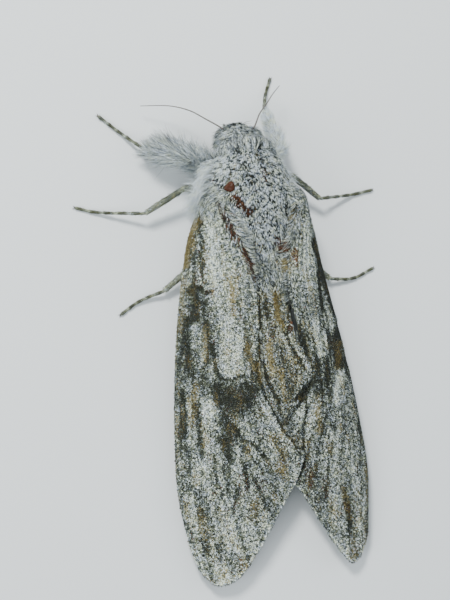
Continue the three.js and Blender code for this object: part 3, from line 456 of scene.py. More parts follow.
# Marks drawn along lines on the plan: [change, half width, x, y, x, y, ...]
MARKS = {
    "left": {
        PALE: (
            (-0.4, 0.3, -11.8, -3, -12.2, -5.9, -12.3, -9.2, -12.8, -11.6, -12.8, -13.8, -13, -17.2),
            (-0.24, 0.5, -13.6, -11, -14.2, -16.3, -14.7, -19.9), (-0.46, 1.1, -14.8, -19.4, -14.6,
            -21.8, -15, -23.9, -15.5, -25.4), (-0.34, 0.5, -13.8, -18.8, -12.6, -20.3, -11.5, -19.9),
            (0.14, 1.8, -10.7, -3.5, -11.2, -10.4, -11.2, -16.2), (0.11, 0.8, -15.1, -26.7, -15, -29.4,
            -15.1, -31.9), (-0.26, 0.6, -16.4, -25.3, -16.8, -29, -17, -32.6, -17.1, -37.7), (-0.26,
            0.6, -13, -21.8, -12.9, -28.5, -13.4, -32.7, -14.3, -35.9, -15.3, -40.2, -15.6, -42.4),
            (-0.44, 0.42, -12.5, -31.1, -12.5, -35, -12.2, -37.9, -11.2, -39.1, -9.1, -39.4, -7.3,
            -38.8), (0.16, 1.2, -9.2, -26.3, -9.4, -30.5), (0.27, 2.3, -9.5, -31.9, -9.8, -36.7),
            (-0.24, 0.9, -5.4, -31.7, -5.8, -33.8, -5.3, -37.1, -4.9, -39.3), (-0.6, 0.34, -4.4, -36.5,
            -4.3, -40.1, -3.3, -43.7, -1.7, -47, -0.4, -49.9, 0.7, -52.1, 2.4, -54.1, 4.5, -57.5),
            (-0.36, 2, -11.7, -41.2, -9, -42.5, -6.1, -42), (-0.36, 1.9, -12, -44.2, -9.3, -45.9, -7.3,
            -45.1), (-0.38, 1.5, -11.9, -47.8, -11.2, -50.5, -10.6, -52.1), (-0.42, 1, -12.9, -52.1,
            -12.1, -54.3, -11.3, -56.6), (-0.24, 0.9, -13.1, -39.3, -13.2, -43.1), (-0.36, 0.5, -19.1,
            -40.7, -19.1, -45.1, -19.8, -47.7, -20.1, -50.5), (-0.2, 0.9, -19.9, -53.2, -20.3, -58.1,
            -20.3, -62.1), (0.22, 1.2, -14.6, -44, -14.8, -46.8), (-0.44, 0.34, -10.4, -48.7, -9, -52.1,
            -7, -53.7, -5.2, -55.6, -4.1, -57.3), (-0.42, 0.35, -8.3, -54.2, -7.1, -56.5, -5.7, -58.3,
            -4.7, -60.8), (-0.2, 0.7, -2, -53.2, -0.3, -56.1, 0.6, -59), (-0.26, 0.5, -8.8, -58.7, -8.3,
            -62, -8.5, -63.7), (-0.3, 0.55, -10.2, -63.1, -11, -65.9, -11.6, -68.3), (-0.22, 0.3, -13.2,
            -58, -12.4, -61.3, -12.3, -65), (-0.2, 0.4, -18.4, -73.8, -17.7, -76.7), (-0.22, 0.45,
            -15.5, -75.4, -15, -79.1), (0.12, 1.9, -16.6, -58.6, -16.1, -63.1, -15.1, -66.1), (-0.12,
            1.9, -4.8, -62.8, -3.9, -66.5, -6.5, -68), (-0.24, 0.85, -12.8, -4.6, -13.8, -7.3, -14.7,
            -10.5, -15.5, -13.5), (-0.3, 0.5, -17.1, -44.1, -17, -49.7, -16.9, -55.3), (0.14, 1, -17.5,
            -55.3, -16.8, -60.8, -16, -67.5, -14.4, -74.4), (-0.22, 0.5, -14.8, -55, -14.2, -61.1,
            -13.5, -66.7), (-0.2, 0.6, -18.9, -62.7, -18.3, -69.4, -17.1, -75.9), (0.12, 0.9, -11.6,
            -65.9, -12, -70.2, -13.2, -75.7),
        ),
        RUST: (
            (0.4, 0.5, -12.5, -19.9, -11.5, -20.1), (0.22, 0.45, -8.3, -60.9, -8.3, -63.2, -11, -66.6,
            -11.6, -68.3),
        ),
        OCHRE: (
            (0.95, 0.85, -12.8, -4.6, -13.8, -7.3, -14.7, -10.5, -15.5, -13.5), (0.35, 0.8, -16.1,
            -16.5, -16.8, -21.2, -17.9, -27.7), (0.35, 0.7, -8.5, -17.4, -8.1, -20.5, -7.9, -25.3),
            (0.45, 0.6, -13.4, -27.3, -13.7, -31.7, -14.2, -34.8), (0.45, 0.6, -16.9, -40, -17.6, -45.4,
            -18.5, -48.7), (0.5, 0.8, -5.4, -32.1, -5.8, -34.2, -5.1, -37.4), (0.25, 0.8, -10.2, -41.9,
            -7.6, -43.1, -11, -50.5), (0.4, 0.9, 2.3, -53.9, 3.1, -55.1), (0.35, 1, -2, -53.2, -0.3,
            -56.1, 0.6, -59, -0.5, -60.9),
        ),
    },
    "right": {
        PALE: (
            # The first two marks are painted shadow: under the rear edge of the left wing's inner field,
            # and along the left wing's edge where it lies over this wing.
            (-0.8, 0.7, 8, -42.4, 7.3, -43.8, 6.2, -45.4, 5.2, -46.6), (-0.6, 0.4, 2.2, -53, 4, -55.7,
            5.6, -58.4, 5.3, -60.5, 4.2, -62.6), (-0.6, 1.1, 12.3, -11.9, 14.3, -15.5, 15.6, -19.4,
            17.1, -22.7, 18, -26.3, 18.6, -29.7, 19.3, -33.8, 19.8, -37.1, 19.6, -39.5), (-0.36, 0.45,
            13.5, -14.9, 13.2, -20.4, 12.5, -24.8, 12.9, -28.8, 13.1, -31.5), (-0.22, 0.7, 15.2, -20,
            15.6, -24.6), (-0.4, 1.1, 18.3, -30.8, 16.4, -35.1, 16.2, -39.7), (-0.3, 0.7, 13.6, -32, 14,
            -35.2, 12.9, -38.2, 12, -42.6), (0.26, 0.65, 15.2, -27.7, 15.3, -30.8), (0.4, 0.95, 10.3,
            -29.1, 10.7, -32.6, 11, -36.2), (0.2, 0.6, 12.7, -31.7, 12.4, -34.8), (-0.22, 0.7, 6.9,
            -32.3, 7, -35.3, 6.6, -37), (-0.26, 1.1, 9.5, -37.8, 10, -41.2, 9.8, -44.5), (-0.16, 1.4,
            11.6, -38.5, 12.7, -41.3, 11.7, -44.7, 11.1, -47.9, 10.5, -52.3), (-0.26, 0.7, 13.1, -52.1,
            13, -53.8), (0.44, 1.1, 16.3, -41.2, 14.7, -44.7, 14.7, -47.3), (-0.24, 0.35, 18.5, -41,
            19.1, -43.3, 20.3, -45.8), (0.14, 0.6, 18.4, -42.8, 19.3, -45.3), (-0.55, 0.34, 6.1, -29.5,
            6.1, -33.1, 6.6, -36.5), (-0.46, 0.36, 7.1, -45.4, 7, -48.6, 6.1, -53, 5.6, -57.3, 4.9,
            -60.3), (-0.32, 0.32, 10.5, -51.2, 9.7, -55.5, 8.7, -60, 8, -63.4), (-0.36, 0.28, 12.4,
            -55.9, 11.7, -59.2, 11.2, -62.5, 10.5, -65.9, 9.8, -68.9), (-0.26, 0.26, 13.3, -64.5, 12.7,
            -68.6), (-0.24, 0.45, 20.5, -52.6, 20.3, -57.2, 19.5, -60.5, 18.8, -64.8), (-0.24, 0.6,
            14.6, -67.1, 15.1, -70, 15.7, -73.5, 15, -77.9), (-0.2, 0.7, 7.2, -62, 7.2, -65.5), (0.1,
            1.4, 16.3, -56.6, 16.1, -62.4), (0.1, 1.2, 9.3, -12.6, 9, -21.3), (-0.45, 1, 14, -17.8,
            15.1, -21.6, 16.3, -25, 16.9, -27.6), (-0.5, 0.6, 13.1, -18.6, 13, -22.6, 13.2, -26.7),
            (-0.4, 1.5, 16.2, -33.6, 16.2, -36.3, 16.5, -39), (0.12, 3, 10, -48, 10, -60),
        ),
        RUST: (
            (0.3, 0.5, 14.6, -69.8, 15.3, -71.9), (0.3, 0.6, 7.2, -62, 7.2, -65.5),
        ),
        OCHRE: (
            (0.45, 0.9, 17.3, -34.6, 15.9, -39.9), (0.4, 0.6, 14.6, -67.1, 15.1, -70, 15.6, -73.7),
            (0.3, 0.8, 9.5, -45.5, 9.4, -53.3), (0.3, 0.8, 6.5, -55.2, 6.8, -58.6), (0.3, 0.9, 15.7,
            -34, 16.5, -39),
        ),
    },
    "field": {
        PALE: (
            # The first two marks are painted shadow: a dark line beside the left wing's inner edge, where
            # that edge lies over the field.
            (-0.66, 0.32, -1.9, -19.3, -2.3, -23.4, -2.7, -27.6, -3.4, -32.8, -3.5, -35.4), (-0.66,
            0.36, -3.4, -35.4, -2.7, -38.2, -2, -40.7, -1.1, -43.5, 0.2, -45.7), (-0.16, 0.75, 1.4,
            -21.5, 1.5, -24.4, 1.6, -27.1, 2.2, -29.5), (-0.5, 0.3, 3.8, -21.2, 3.8, -24.5, 3.7, -28.3,
            3.1, -31.6), (-0.6, 0.32, 3.1, -32.2, 3.9, -34.5, 5.2, -36.9, 6.4, -39.4), (0.3, 0.3, 3.5,
            # The darkest mark on the line below is painted shadow, in the gap at the field's rear edge.
            -31.9, 4.3, -34.2, 5.7, -36.5, 6.9, -39), (-0.85, 0.5, 6.5, -43.2, 5.6, -44.5, 4.3, -45.7),
            (-0.2, 0.4, 1.4, -34.6, 1.8, -39.1, 2.7, -43.1), (-0.2, 0.7, -0.9, -23.5, -1, -26.9), (0.14,
            0.9, -0.7, -20.1, -0.2, -21.8), (0.08, 1.6, 3.6, -36.5, 4.8, -41),
        ),
        RUST: (
            (0.6, 0.7, 4.1, -28.7, 3.9, -30.2), (0.4, 0.4, -1.5, -30.6, -0.1, -31.4),
        ),
        OCHRE: (
            (0.85, 0.6, 1.4, -21.5, 1.5, -24.4, 1.6, -27.1, 2.2, -29.5), (0.55, 0.8, -1.1, -32.9, -1.2,
            -36.5, -1, -39.7), (0.65, 0.6, 0.7, -38.5, 1.3, -42.3, 1.6, -45.2), (0.5, 0.5, -4.2, -37.1,
            -4.1, -40.9), (0.15, 1.6, 3.2, -36.6, 4.5, -41.1),
        ),
    },
    "back": {
        PALE: (
            (-0.5, 0.26, -8.5, -0.9, -8.8, -3.7, -7.9, -7, -6.7, -9.2), (-0.16, 0.48, -5.9, -10.2, -4.7,
            -13.5, -3.9, -16.3, -3.4, -18.6), (-0.32, 0.4, -1.9, 14, -2, 11.3, -2.7, 8.4), (-0.3, 0.45,
            1.6, 12.1, 1.1, 8.7, 1.1, 5.7), (-0.24, 0.5, -2.5, 5.6, -2.5, 1.2), (0.14, 1.6, -4.1, 12.8,
            -6, 7.4), (0.1, 1.6, 0.2, 11.5, -1, 6.6), (0.16, 1.6, 8.2, 7.1, 7.2, 2.2), (-0.3, 0.35, 10,
            3.8, 10.1, -0.3, 9.7, -5.5), (-0.26, 0.45, 3.9, -7.3, 2.8, -8.5, 3.2, -10.2), (-0.2, 0.6, 1,
            -9.6, 0.1, -12), (-0.25, 0.75, -5.5, -0.8, -4.3, -2.7, -3.1, -4.5), (0.7, 0.55, -7.3, -2.6,
            -6.4, -4.1, -5.3, -5.7, -4.2, -7.5, -3.7, -9.7), (0.22, 0.8, -6.5, 4, -6.3, 2.8), (-0.22,
            0.5, -4.6, -7.3, -2.9, -11.7),
        ),
        RUST: (
            (0.8, 0.38, -5.9, -10.2, -4.7, -13.5, -3.9, -16.3, -3.4, -18.6), (0.8, 0.36, -8.6, -1.6,
            -8.8, -3.7, -8, -5.4, -7.1, -7.6, -6.1, -9.8), (0.4, 0.3, -7.1, -3.7, -5.9, -6, -4.8, -8.3),
            (0.85, 0.75, -5.5, -0.8, -4.3, -2.7, -3.1, -4.5), (0.8, 0.5, -9, 4.8, -8.9, 3.6), (0.9, 0.9,
            3.4, -11.6, 3.8, -12.9), (0.55, 0.7, 6.2, -13.5, 6.5, -16.6), (0.35, 0.4, 1.1, 3.7, 1.2,
            1.9),
        ),
        OCHRE: (
            (0.5, 0.7, 6.2, -13.5, 6.5, -16.6), (0.45, 0.6, 2.6, -15.5, 4, -17.1),
        ),
    },
}


def distance(x, y, way):
    """How far points of the plan lie from a line of straight runs, given as x, y, x, y, ..."""
    ends, runs = np.reshape(way, (-1, 2)), []
    for a, b in zip(ends, ends[1:]):
        run = b - a
        t = np.clip(((x - a[0]) * run[0] + (y - a[1]) * run[1]) / (run @ run), 0, 1)
        runs.append(np.hypot(x - a[0] - t * run[0], y - a[1] - t * run[1]))
    return np.min(runs, axis=0)


def drawn(places, x, y):
    """What the marks add to paleness, rust and ochre at each point of the plan. Across its line a mark
    falls off as exp(-(distance / half width)^3), and its edges are frayed lengthwise."""
    x = x + 0.7 * STREAK(x * 1.5, y * 0.28) + 0.35 * FINE(x * 4.0, y * 1.2)
    y = y + 0.5 * CLOUD(x * 1.2, y * 0.9)
    sums = [0.0 * x, 0.0 * x, 0.0 * x]
    for place in places:
        for kind, marks in MARKS[place].items():
            for change, half, *way in marks:
                sums[kind] = sums[kind] + change * np.exp(-((distance(x, y, way) / half) ** 3))
    return sums


def clipped(*marks):
    """Marks kept from 0 to 1."""
    return [np.clip(mark, 0, 1) for mark in marks]


def wing_marks(name, s, v, at=None):
    """Paleness, rust and ochre over a forewing: streaks along it, dark veins, and the marks drawn."""
    side = SIDES[name]
    at = WINGS[name].at(s, v) if at is None else at
    marked = drawn((name, "back", "field"), at[..., 0], at[..., 1])
    pale = 0.45 if side < 0 else 0.42
    loose = 0.24 * STREAK(s * 11, v * 40 + 9 * side) + 0.16 * FINE(s * 24 + side, v * 90)
    broad = 0.24 * smooth(s, 0.4, 0.6) * STREAK(s * 5 + 4 * side, v * 15)
    loose += 0.18 * CLOUD(s * 9 + 3 * side, v * 7) + broad
    pale = pale + loose * (1 - 0.6 * np.clip(-marked[PALE] / 0.4, 0, 1))
    pale += 0.19 * (1 - smooth(s, 0.25, 0.4)) * smooth(v, 0.25, 0.4) + 0.05 * smooth(s, 0.5, 0.7)
    pale -= 0.10 * smooth(s, 0.28, 0.4) * (1 - smooth(s, 0.66, 0.76)) * (1 - smooth(v, 0.10, 0.30))
    vein = hump(np.min(np.abs(v[..., None] - VEINS), -1), 0, 0.008)
    pale -= 0.15 * vein * smooth(s, 0.05, 0.2) * (0.6 + 1.2 * STREAK(s * 9, v * 3 + 2 * side))
    pale += 0.22 * smooth(s, 0.991, 0.996)
    ochre = marked[OCHRE] + 0.42 * np.clip(CLOUD(s * 22, v * 18 + side) - 0.10, 0, 1) / 0.4
    rust = marked[RUST] + 0.14 * np.clip(BLOTCH(s * 30 + 5, v * 16 + side) - 0.26, 0, 1) / 0.24
    return clipped(pale + marked[PALE], rust, ochre)


def body_marks(p):
    """Paleness, rust and ochre over the body, by place, with painted light behind the thorax, where the
    wings shade the back.
    """
    x, y, z = parts(p)
    marked = drawn(("back",), x, y)
    top = smooth(z, 9, 13)
    # Paler behind y = -6: painted light, making up for the shade that the wings' inner edges cast on the
    # back there.
    pale = 0.5 + 0.14 * smooth(-y, 6, 11) + 0.20 * CLOUD(x * 0.75, y * 0.16)
    pale = pale + 0.22 * BLOTCH(x * 1.5 + 9, y * 0.4) + 0.16 * FINE(x * 1.1, y * 1.1)
    pale += 0.16 * smooth(np.abs(x), 6.5, 9.5) * smooth(y, -15, -11) * (1 - 0.6 * top)
    ochre = top * marked[OCHRE] + 0.2 * smooth(y, -20, -30)
    ochre += 0.18 * np.clip(CLOUD(x * 0.9 + 4, y * 0.6) - 0.15, 0, 1) / 0.35
    return clipped(pale + top * marked[PALE], top * marked[RUST], ochre)


def field_marks(p, t, c):
    """Paleness, rust and ochre over the inner field: browner than the wing, and in front as the back."""
    marked = drawn(("field", "left", "back"), p[..., 0], p[..., 1])
    front = 1 - smooth(t, 0.0, 0.12)
    pale = 0.38 + 0.26 * STREAK(t * 6 + 2, c * 14) + 0.18 * FINE(t * 14, c * 40)
    pale = pale + 0.14 * CLOUD(t * 5, c * 4) + 0.10 * front
    ochre = marked[OCHRE] + (1 - front) * (0.10 + 0.4 * np.clip(CLOUD(t * 13, c * 9) - 0.05, 0, 1))
    rust = marked[RUST] + 0.25 * (1 - front) * np.clip(BLOTCH(t * 16, c * 9) - 0.25, 0, 1)
    return clipped(pale + marked[PALE], rust, ochre)


SPECKLE = np.random.default_rng(77).random((256, 256))
WING_CELL, FUR_CELL = 0.22, 0.30


def grained(pale, draw, strength=1.0, at=None, cell=WING_CELL):
    """Each scale or tuft takes a paleness of its own, dark, middling or light, so that the coat looks
    like salt and pepper. Where places are given, neighbours in one small cell of the plan take the
    same."""
    pale = np.clip(pale, 0, 1)
    chance = draw.random(pale.shape)
    if at is not None:
        i, j = np.floor((at[:, :2] + draw.normal(0, 0.06, (len(at), 2))) / cell).astype(int).T
        chance = SPECKLE[i % 256, j % 256]
    own = draw.normal(0, 0.05 + 0.15 * np.minimum(pale, 0.6))
    light = np.where(chance > 0.66 - 0.45 * (pale - 0.5), 0.16 + 0.24 * np.minimum(pale, 0.5), 0.0)
    own += np.where(chance < 0.38 + 0.2 * (0.5 - pale), -0.22 - 0.32 * pale, light)
    return np.clip(pale + strength * own, 0, 1)


def flecked(mark, draw):
    """A coloured mark that some scales or tufts take up and others don't."""
    return np.where(draw.random(mark.shape) < mark, 1.0, 0.0)


def speckled(marks, draw, *grain, paler=0.0):
    """Each scale's or tuft's own marks, drawn from the paleness, rust and ochre of its place."""
    pale, rust, ochre = marks
    pale = grained(pale + paler, draw, *grain)
    return {"pale": pale, "rust": flecked(rust, draw), "ochre": flecked(ochre, draw)}


# ---------------------------------------------------------------- materials
def node(tree, kind, values=(), **settings):
    """A new node. A value that is another node's socket is linked, any other is set."""
    made = tree.nodes.new(kind)
    for name, value in settings.items():
        setattr(made, name, value)
    feed(tree, made, values)
    return made.outputs


def feed(tree, made, values):
    """Links or sets a node's inputs."""
    for name, value in dict(values).items():
        if isinstance(value, bpy.types.NodeSocket):
            tree.links.new(value, made.inputs[name])
        else:
            made.inputs[name].default_value = value


def ranged(tree, value, low, high, to_low, to_high):
    """A value moved from one range to another, and kept within it."""
    values = {"Value": value, "From Min": low, "From Max": high, "To Min": to_low, "To Max": to_high}
    return node(tree, "ShaderNodeMapRange", values)["Result"]


def mixed(tree, factor, a, b, **settings):
    """Two colours mixed."""
    values = {"Factor": factor, "A": a, "B": b}
    return node(tree, "ShaderNodeMix", values, data_type="RGBA", **settings)["Result"]


def scale_dust():
    """Node group: powdery scales. Paleness becomes a colour, with rust, ochre and specks over it, and
    painted shade darkens it towards the roots.
    """
    tree = bpy.data.node_groups.new("Scale dust", "ShaderNodeTree")
    for name, value in (
        ("Paleness", 0.5), ("Rust", 0.0), ("Ochre", 0.0), ("Reach", 1.0), ("Tint", 0.5),
        ("Root shade", 0.5), ("Speck size", 3000.0), ("Speck strength", 0.2),
    ):
        socket = tree.interface.new_socket(name, in_out="INPUT", socket_type="NodeSocketFloat")
        socket.default_value = value
    for name, kind in (("Color", "Color"), ("Height", "Float"), ("Roughness", "Float")):
        tree.interface.new_socket(name, in_out="OUTPUT", socket_type="NodeSocket" + kind)
    given = node(tree, "NodeGroupInput")
    place = node(tree, "ShaderNodeTexCoord")["Object"]
    specks = {"Vector": place, "Scale": given["Speck size"], "Detail": 2.0, "Roughness": 0.7}
    speck = node(tree, "ShaderNodeTexNoise", specks)["Fac"]
    height = ranged(tree, speck, 0.3, 0.7, -1.0, 1.0)
    values = {0: height, 1: given["Speck strength"], 2: given["Paleness"]}
    pale = node(tree, "ShaderNodeMath", values, operation="MULTIPLY_ADD")[0]
    ramp = tree.nodes.new("ShaderNodeValToRGB")
    stops = (
        (0.0, (0.012, 0.013, 0.011)), (0.25, (0.044, 0.049, 0.045)), (0.5, (0.168, 0.188, 0.198)),
        (0.75, (0.48, 0.525, 0.57)), (1.0, (0.96, 0.99, 1.0)),
    )
    while len(ramp.color_ramp.elements) < len(stops):
        ramp.color_ramp.elements.new(0.5)
    for element, (at, color) in zip(ramp.color_ramp.elements, stops):
        element.position = at
        element.color = (*color, 1)
    feed(tree, ramp, {"Fac": pale})
    # Each tuft or scale is cast olive or blue, by its tint and by a fine noise.
    values = {"Vector": place, "Scale": 800.0, "Detail": 6.0, "Roughness": 0.8}
    fine = node(tree, "ShaderNodeTexNoise", values)["Fac"]
    values = {0: given["Tint"], 1: 0.55, 2: ranged(tree, fine, 0.38, 0.60, 0.0, 0.45)}
    share = node(tree, "ShaderNodeMath", values, operation="MULTIPLY_ADD")[0]
    cast = mixed(tree, share, (0.97, 0.98, 0.57, 1), (0.73, 0.82, 1.0, 1))
    found = mixed(tree, 1.0, ramp.outputs["Color"], cast, blend_type="MULTIPLY")
    for mark, dark, light in (
        ("Ochre", (0.055, 0.043, 0.014, 1), (0.40, 0.35, 0.17, 1)),
        ("Rust", (0.024, 0.010, 0.005, 1), (0.15, 0.070, 0.036, 1)),
    ):
        found = mixed(tree, given[mark], found, mixed(tree, pale, dark, light))
    # Painted shade: towards its root each tuft or scale is darkened down to the root shade, standing in
    # for the coat's own shadow.
    root = ranged(tree, given["Reach"], 0.0, 0.55, given["Root shade"], 1.0)
    feed(tree, tree.nodes.new("NodeGroupOutput"), {
        "Color": mixed(tree, 1.0, found, root, blend_type="MULTIPLY"),
        "Height": height,
        "Roughness": ranged(tree, speck, 0.0, 1.0, 0.62, 0.9),
    })
    return tree


DUST = scale_dust()
MARK_SOCKETS = {"Paleness": "pale", "Rust": "rust", "Ochre": "ochre", "Reach": "reach", "Tint": "tint"}


def blank(name):
    """A new material, its node tree and its shader."""
    made = bpy.data.materials.new(name)
    made.use_nodes = True
    return made, made.node_tree, made.node_tree.nodes["Principled BSDF"]


def material(name, speck_size, speck_strength, bump, sheen, root_shade=0.5):
    """A finish of powdery scales over a piece that carries the marks."""
    made, tree, shader = blank(name)
    values = {"Root shade": root_shade, "Speck size": speck_size, "Speck strength": speck_strength}
    for socket, mark in MARK_SOCKETS.items():
        values[socket] = node(tree, "ShaderNodeAttribute", attribute_name=mark)["Fac"]
    dust = node(tree, "ShaderNodeGroup", values, node_tree=DUST)
    feed(tree, shader, {
        "Base Color": dust["Color"], "Roughness": dust["Roughness"], "Sheen Weight": sheen,
        "Sheen Roughness": 0.45, "Specular IOR Level": 0.1,
    })
    if bump:
        values = {"Height": dust["Height"], "Strength": bump, "Distance": 0.00006}
        feed(tree, shader, {"Normal": node(tree, "ShaderNodeBump", values)["Normal"]})
    return made


def horn(name, color, roughness, facets=2200.0, gloss=0.5):
    """Bare cuticle: dark and glossy, with fine cells or, on an eye, facets."""
    made, tree, shader = blank(name)
    place = node(tree, "ShaderNodeTexCoord")["Object"]
    cloud = node(tree, "ShaderNodeTexNoise", {"Vector": place, "Scale": 900.0, "Detail": 3.0})["Fac"]
    light = tuple(min(1.0, 2.6 * c + 0.01) for c in color)
    cells = node(tree, "ShaderNodeTexVoronoi", {"Vector": place, "Scale": facets})["Distance"]
    values = {"Height": cells, "Strength": 0.35, "Distance": 0.00004}
    feed(tree, shader, {
        "Base Color": mixed(tree, cloud, (*color, 1), (*light, 1)),
        "Roughness": ranged(tree, cloud, 0.0, 1.0, roughness * 0.8, roughness * 1.25),
        "Specular IOR Level": gloss,
        "Normal": node(tree, "ShaderNodeBump", values, invert=True)["Normal"],
    })
    return made


# Each finish: speck size, speck strength, bump, sheen and the painted shade at the roots.
FUR = material("Back fur", 5000.0, 0.5, 0.0, 0.06)
SOFT_FUR = material("Pale soft fur", 3000.0, 0.12, 0.0, 0.2, 0.95)
SKIN = material("Skin under the fur", 3600.0, 0.28, 0.6, 0.05)
WING_SCALE = material("Wing scale", 5500.0, 0.5, 0.0, 0.03, 0.55)
WING_SKIN = material("Wing membrane", 4200.0, 0.30, 0.5, 0.03)
HIND_SKIN = material("Hindwing membrane", 3800.0, 0.12, 0.5, 0.05)
LEG_SKIN = material("Leg scales", 4500.0, 0.2, 0.4, 0.03, 0.6)
ANTENNA_HORN = horn("Antenna horn", (0.055, 0.050, 0.045), 0.5)
CLAW_HORN = horn("Claw horn", (0.016, 0.010, 0.007), 0.3)
BARE_HORN = horn("Bare cuticle", (0.025, 0.0065, 0.0012), 0.25, gloss=0.2)
EYE_GLASS = horn("Facetted eye", (0.018, 0.010, 0.006), 0.16, facets=5200.0)


# ---------------------------------------------------------------- forewings
class Wing:
    """A forewing's middle surface: a patch blended from its four edges, arched most near the root."""

    def __init__(self, side):
        place = lambda rows: np.asarray(rows, float) * (side, 1, 1)
        self.costa = Curve(place(COSTA))
        self.inner = Curve(place(INNER[side]))
        self.outer = Curve(place(APEX + TERMEN[side]))
        self.corners = [self.costa.at(0), self.costa.at(1), self.inner.at(0), self.inner.at(1)]

    def at(self, s, v):
        """The blend of the two long edges, plus the blend of root line and outer edge, less the blend
        of the four corners, plus the arch."""
        s, v = np.broadcast_arrays(np.asarray(s, float), np.asarray(v, float))
        S, V = s[..., None], v[..., None]
        c0, c1, i0, i1 = self.corners
        p = self.costa.at(s) * (1 - V) + self.inner.at(s) * V
        p = p + (c0 + (i0 - c0) * V) * (1 - S) + self.outer.at(v) * S
        p = p - (c0 * (1 - S) + c1 * S) * (1 - V) - (i0 * (1 - S) + i1 * S) * V
        p[..., 2] += CAMBER * (1 - 0.62 * s * s) * np.sin(np.pi * np.clip(v, 0, 1) ** 0.7)
        return p


WINGS = {name: Wing(side) for name, side in SIDES.items()}
WING_GRID = (220, 100)
CREASE = 0.3  # how deep a fully dark line lies


def wing_relief(side, s, v):
    """Height over the membrane: ridges at the veins and soft folds between them."""
    away = np.abs(v[..., None] - VEINS) / VEIN_HALF_WIDTH
    ridge = np.max(np.exp(-(away**2)), -1) * VEIN_HEIGHT * (1 - 0.4 * s) * smooth(s, -0.05, 0.2)
    folds = 0.16 * STREAK(s * 5 + side, v * 22) + 0.08 * FINE(s * 12, v * 60 + side)
    edge = smooth(v, 0, 0.04) * smooth(1 - v, 0, 0.04) * smooth(1 - s, 0, 0.04)
    return ridge * smooth(v, 0, 0.03) + folds * edge


def creases(place, p):
    """How far the dark lines of a place lie below the rest."""
    return CREASE * np.minimum(drawn((place,), p[..., 0], p[..., 1])[PALE], 0)


def sheet(name, grid, lift, thickness, side, marks, finish, slot, stands_for=()):
    """A closed thin sheet: a grid's points raised by `lift`, and the same less the thickness."""
    rows, columns = grid.points.shape[:2]
    upper = grid.points + grid.out * (lift + thickness / 2)[..., None]
    lower = grid.points + grid.out * (lift - thickness / 2)[..., None]
    top = quads(rows, columns, False)
    index = np.arange(rows * columns).reshape(rows, columns)
    loop = np.concatenate([index[0, :-1], index[:-1, -1], index[-1, :0:-1], index[:0:-1, 0]])
    after = np.roll(loop, -1)
    rim = np.stack([loop, after, after + rows * columns, loop + rows * columns], 1)
    faces = np.vstack([top, top[:, ::-1] + rows * columns, rim])
    if side > 0:
        faces = faces[:, ::-1]
    pale, rust, ochre = (np.tile(np.broadcast_to(mark, (rows, columns)).ravel(), 2) for mark in marks)
    points = np.vstack([upper.reshape(-1, 3), lower.reshape(-1, 3)])
    values = {"pale": pale, "rust": rust, "ochre": ochre, "reach": 1.0}
    piece(name, points, [faces], finish, slot, values, stands_for)
    return Grid(upper, flip=side > 0)


def forewing(name, side):
    """The wing's skin, thin at its rim, with its veins raised and dark lines sunk, and its coats."""
    s, v = shares(*WING_GRID)
    grid = upright(Grid(WINGS[name].at(s, v), flip=side > 0))
    pale, rust, ochre = wing_marks(name, s, v)
    rim = np.minimum(np.minimum(v, 1 - v) * 14, (1 - s) * 40)
    thin = MEMBRANE * (0.35 + 0.65 * smooth(rim, 0, 1))
    lift = wing_relief(side, s, v) + (CAD_MEMBRANE - MEMBRANE) / 2 + creases(name, grid.points)
    marks, solid = (pale * 0.85, rust, ochre), "forewing_" + name
    upper = sheet(solid + "_skin", grid, lift, thin, side, marks, WING_SKIN, "forewing", [solid])
    upright(upper)
    wing_scales(name, side, upper)
    wing_fringe(name, side, upper)
    shoulder_fur(name, side, upper)
    margin_hair(name, side, upper)


SCALES, FRINGE, SHOULDER, MARGIN = 44000, 1500, 3000, 4000


def scale_coat(name, uv, root, out, along, marks, draw, lean=0.0):
    """Overlapping scales that lie along a sheet, leaning a little."""
    count = len(root)
    lie = swayed(along, out, draw, 0.38, lean)
    size = 0.8 + 0.45 * draw.random(count)
    shape = scale_shape(root, out, lie, 0.43 * size, 0.29 * size, 0.05 + 0.13 * draw.random(count))
    coat(name, shape, uv, speckled(marks, draw, 1.0, root), WING_SCALE, "forewing", soft=False)


def wing_scales(name, side, upper):
    """Scales over the upper face, all lying towards the outer edge."""
    draw = np.random.default_rng(int(40 + side))
    u, v = upper.spread(SCALES, draw)
    root, out, along, _ = upper.at(u, v)
    scale_coat("forewing_scales_" + name, (u, v), root, out, along, wing_marks(name, u, v), draw)


def wing_fringe(name, side, upper):
    """Short pale tufts that stand off the outer edge and, a third of them, off the far inner edge."""
    draw = np.random.default_rng(int(60 + side))
    inner = np.arange(FRINGE) < FRINGE // 3
    v = np.where(inner, 0.997, draw.random(FRINGE))
    u = np.where(inner, 0.5 + 0.5 * draw.random(FRINGE), 0.9985)
    root, out, along, across = upper.at(u, v)
    lie = along + np.where(inner, 0.9, 0.0)[:, None] * across
    ochre = wing_marks(name, u, v)[2]
    banded = 0.56 - 0.10 * inner + 0.18 * np.sign(np.sin(u * 160 + v * 95)) * (draw.random(FRINGE) < 0.8)
    lie = swayed(lie, out, draw, 0.2)
    shape = tuft_shape(root - out * 0.1, out, lie, 0.5 + 0.3 * draw.random(FRINGE), 0.22, 0.12, sink=0.3)
    marks = {"pale": grained(banded, draw, 0.3), "ochre": ochre * 0.5}
    coat("forewing_fringe_" + name, shape, (u, v), marks, WING_SCALE, "forewing")


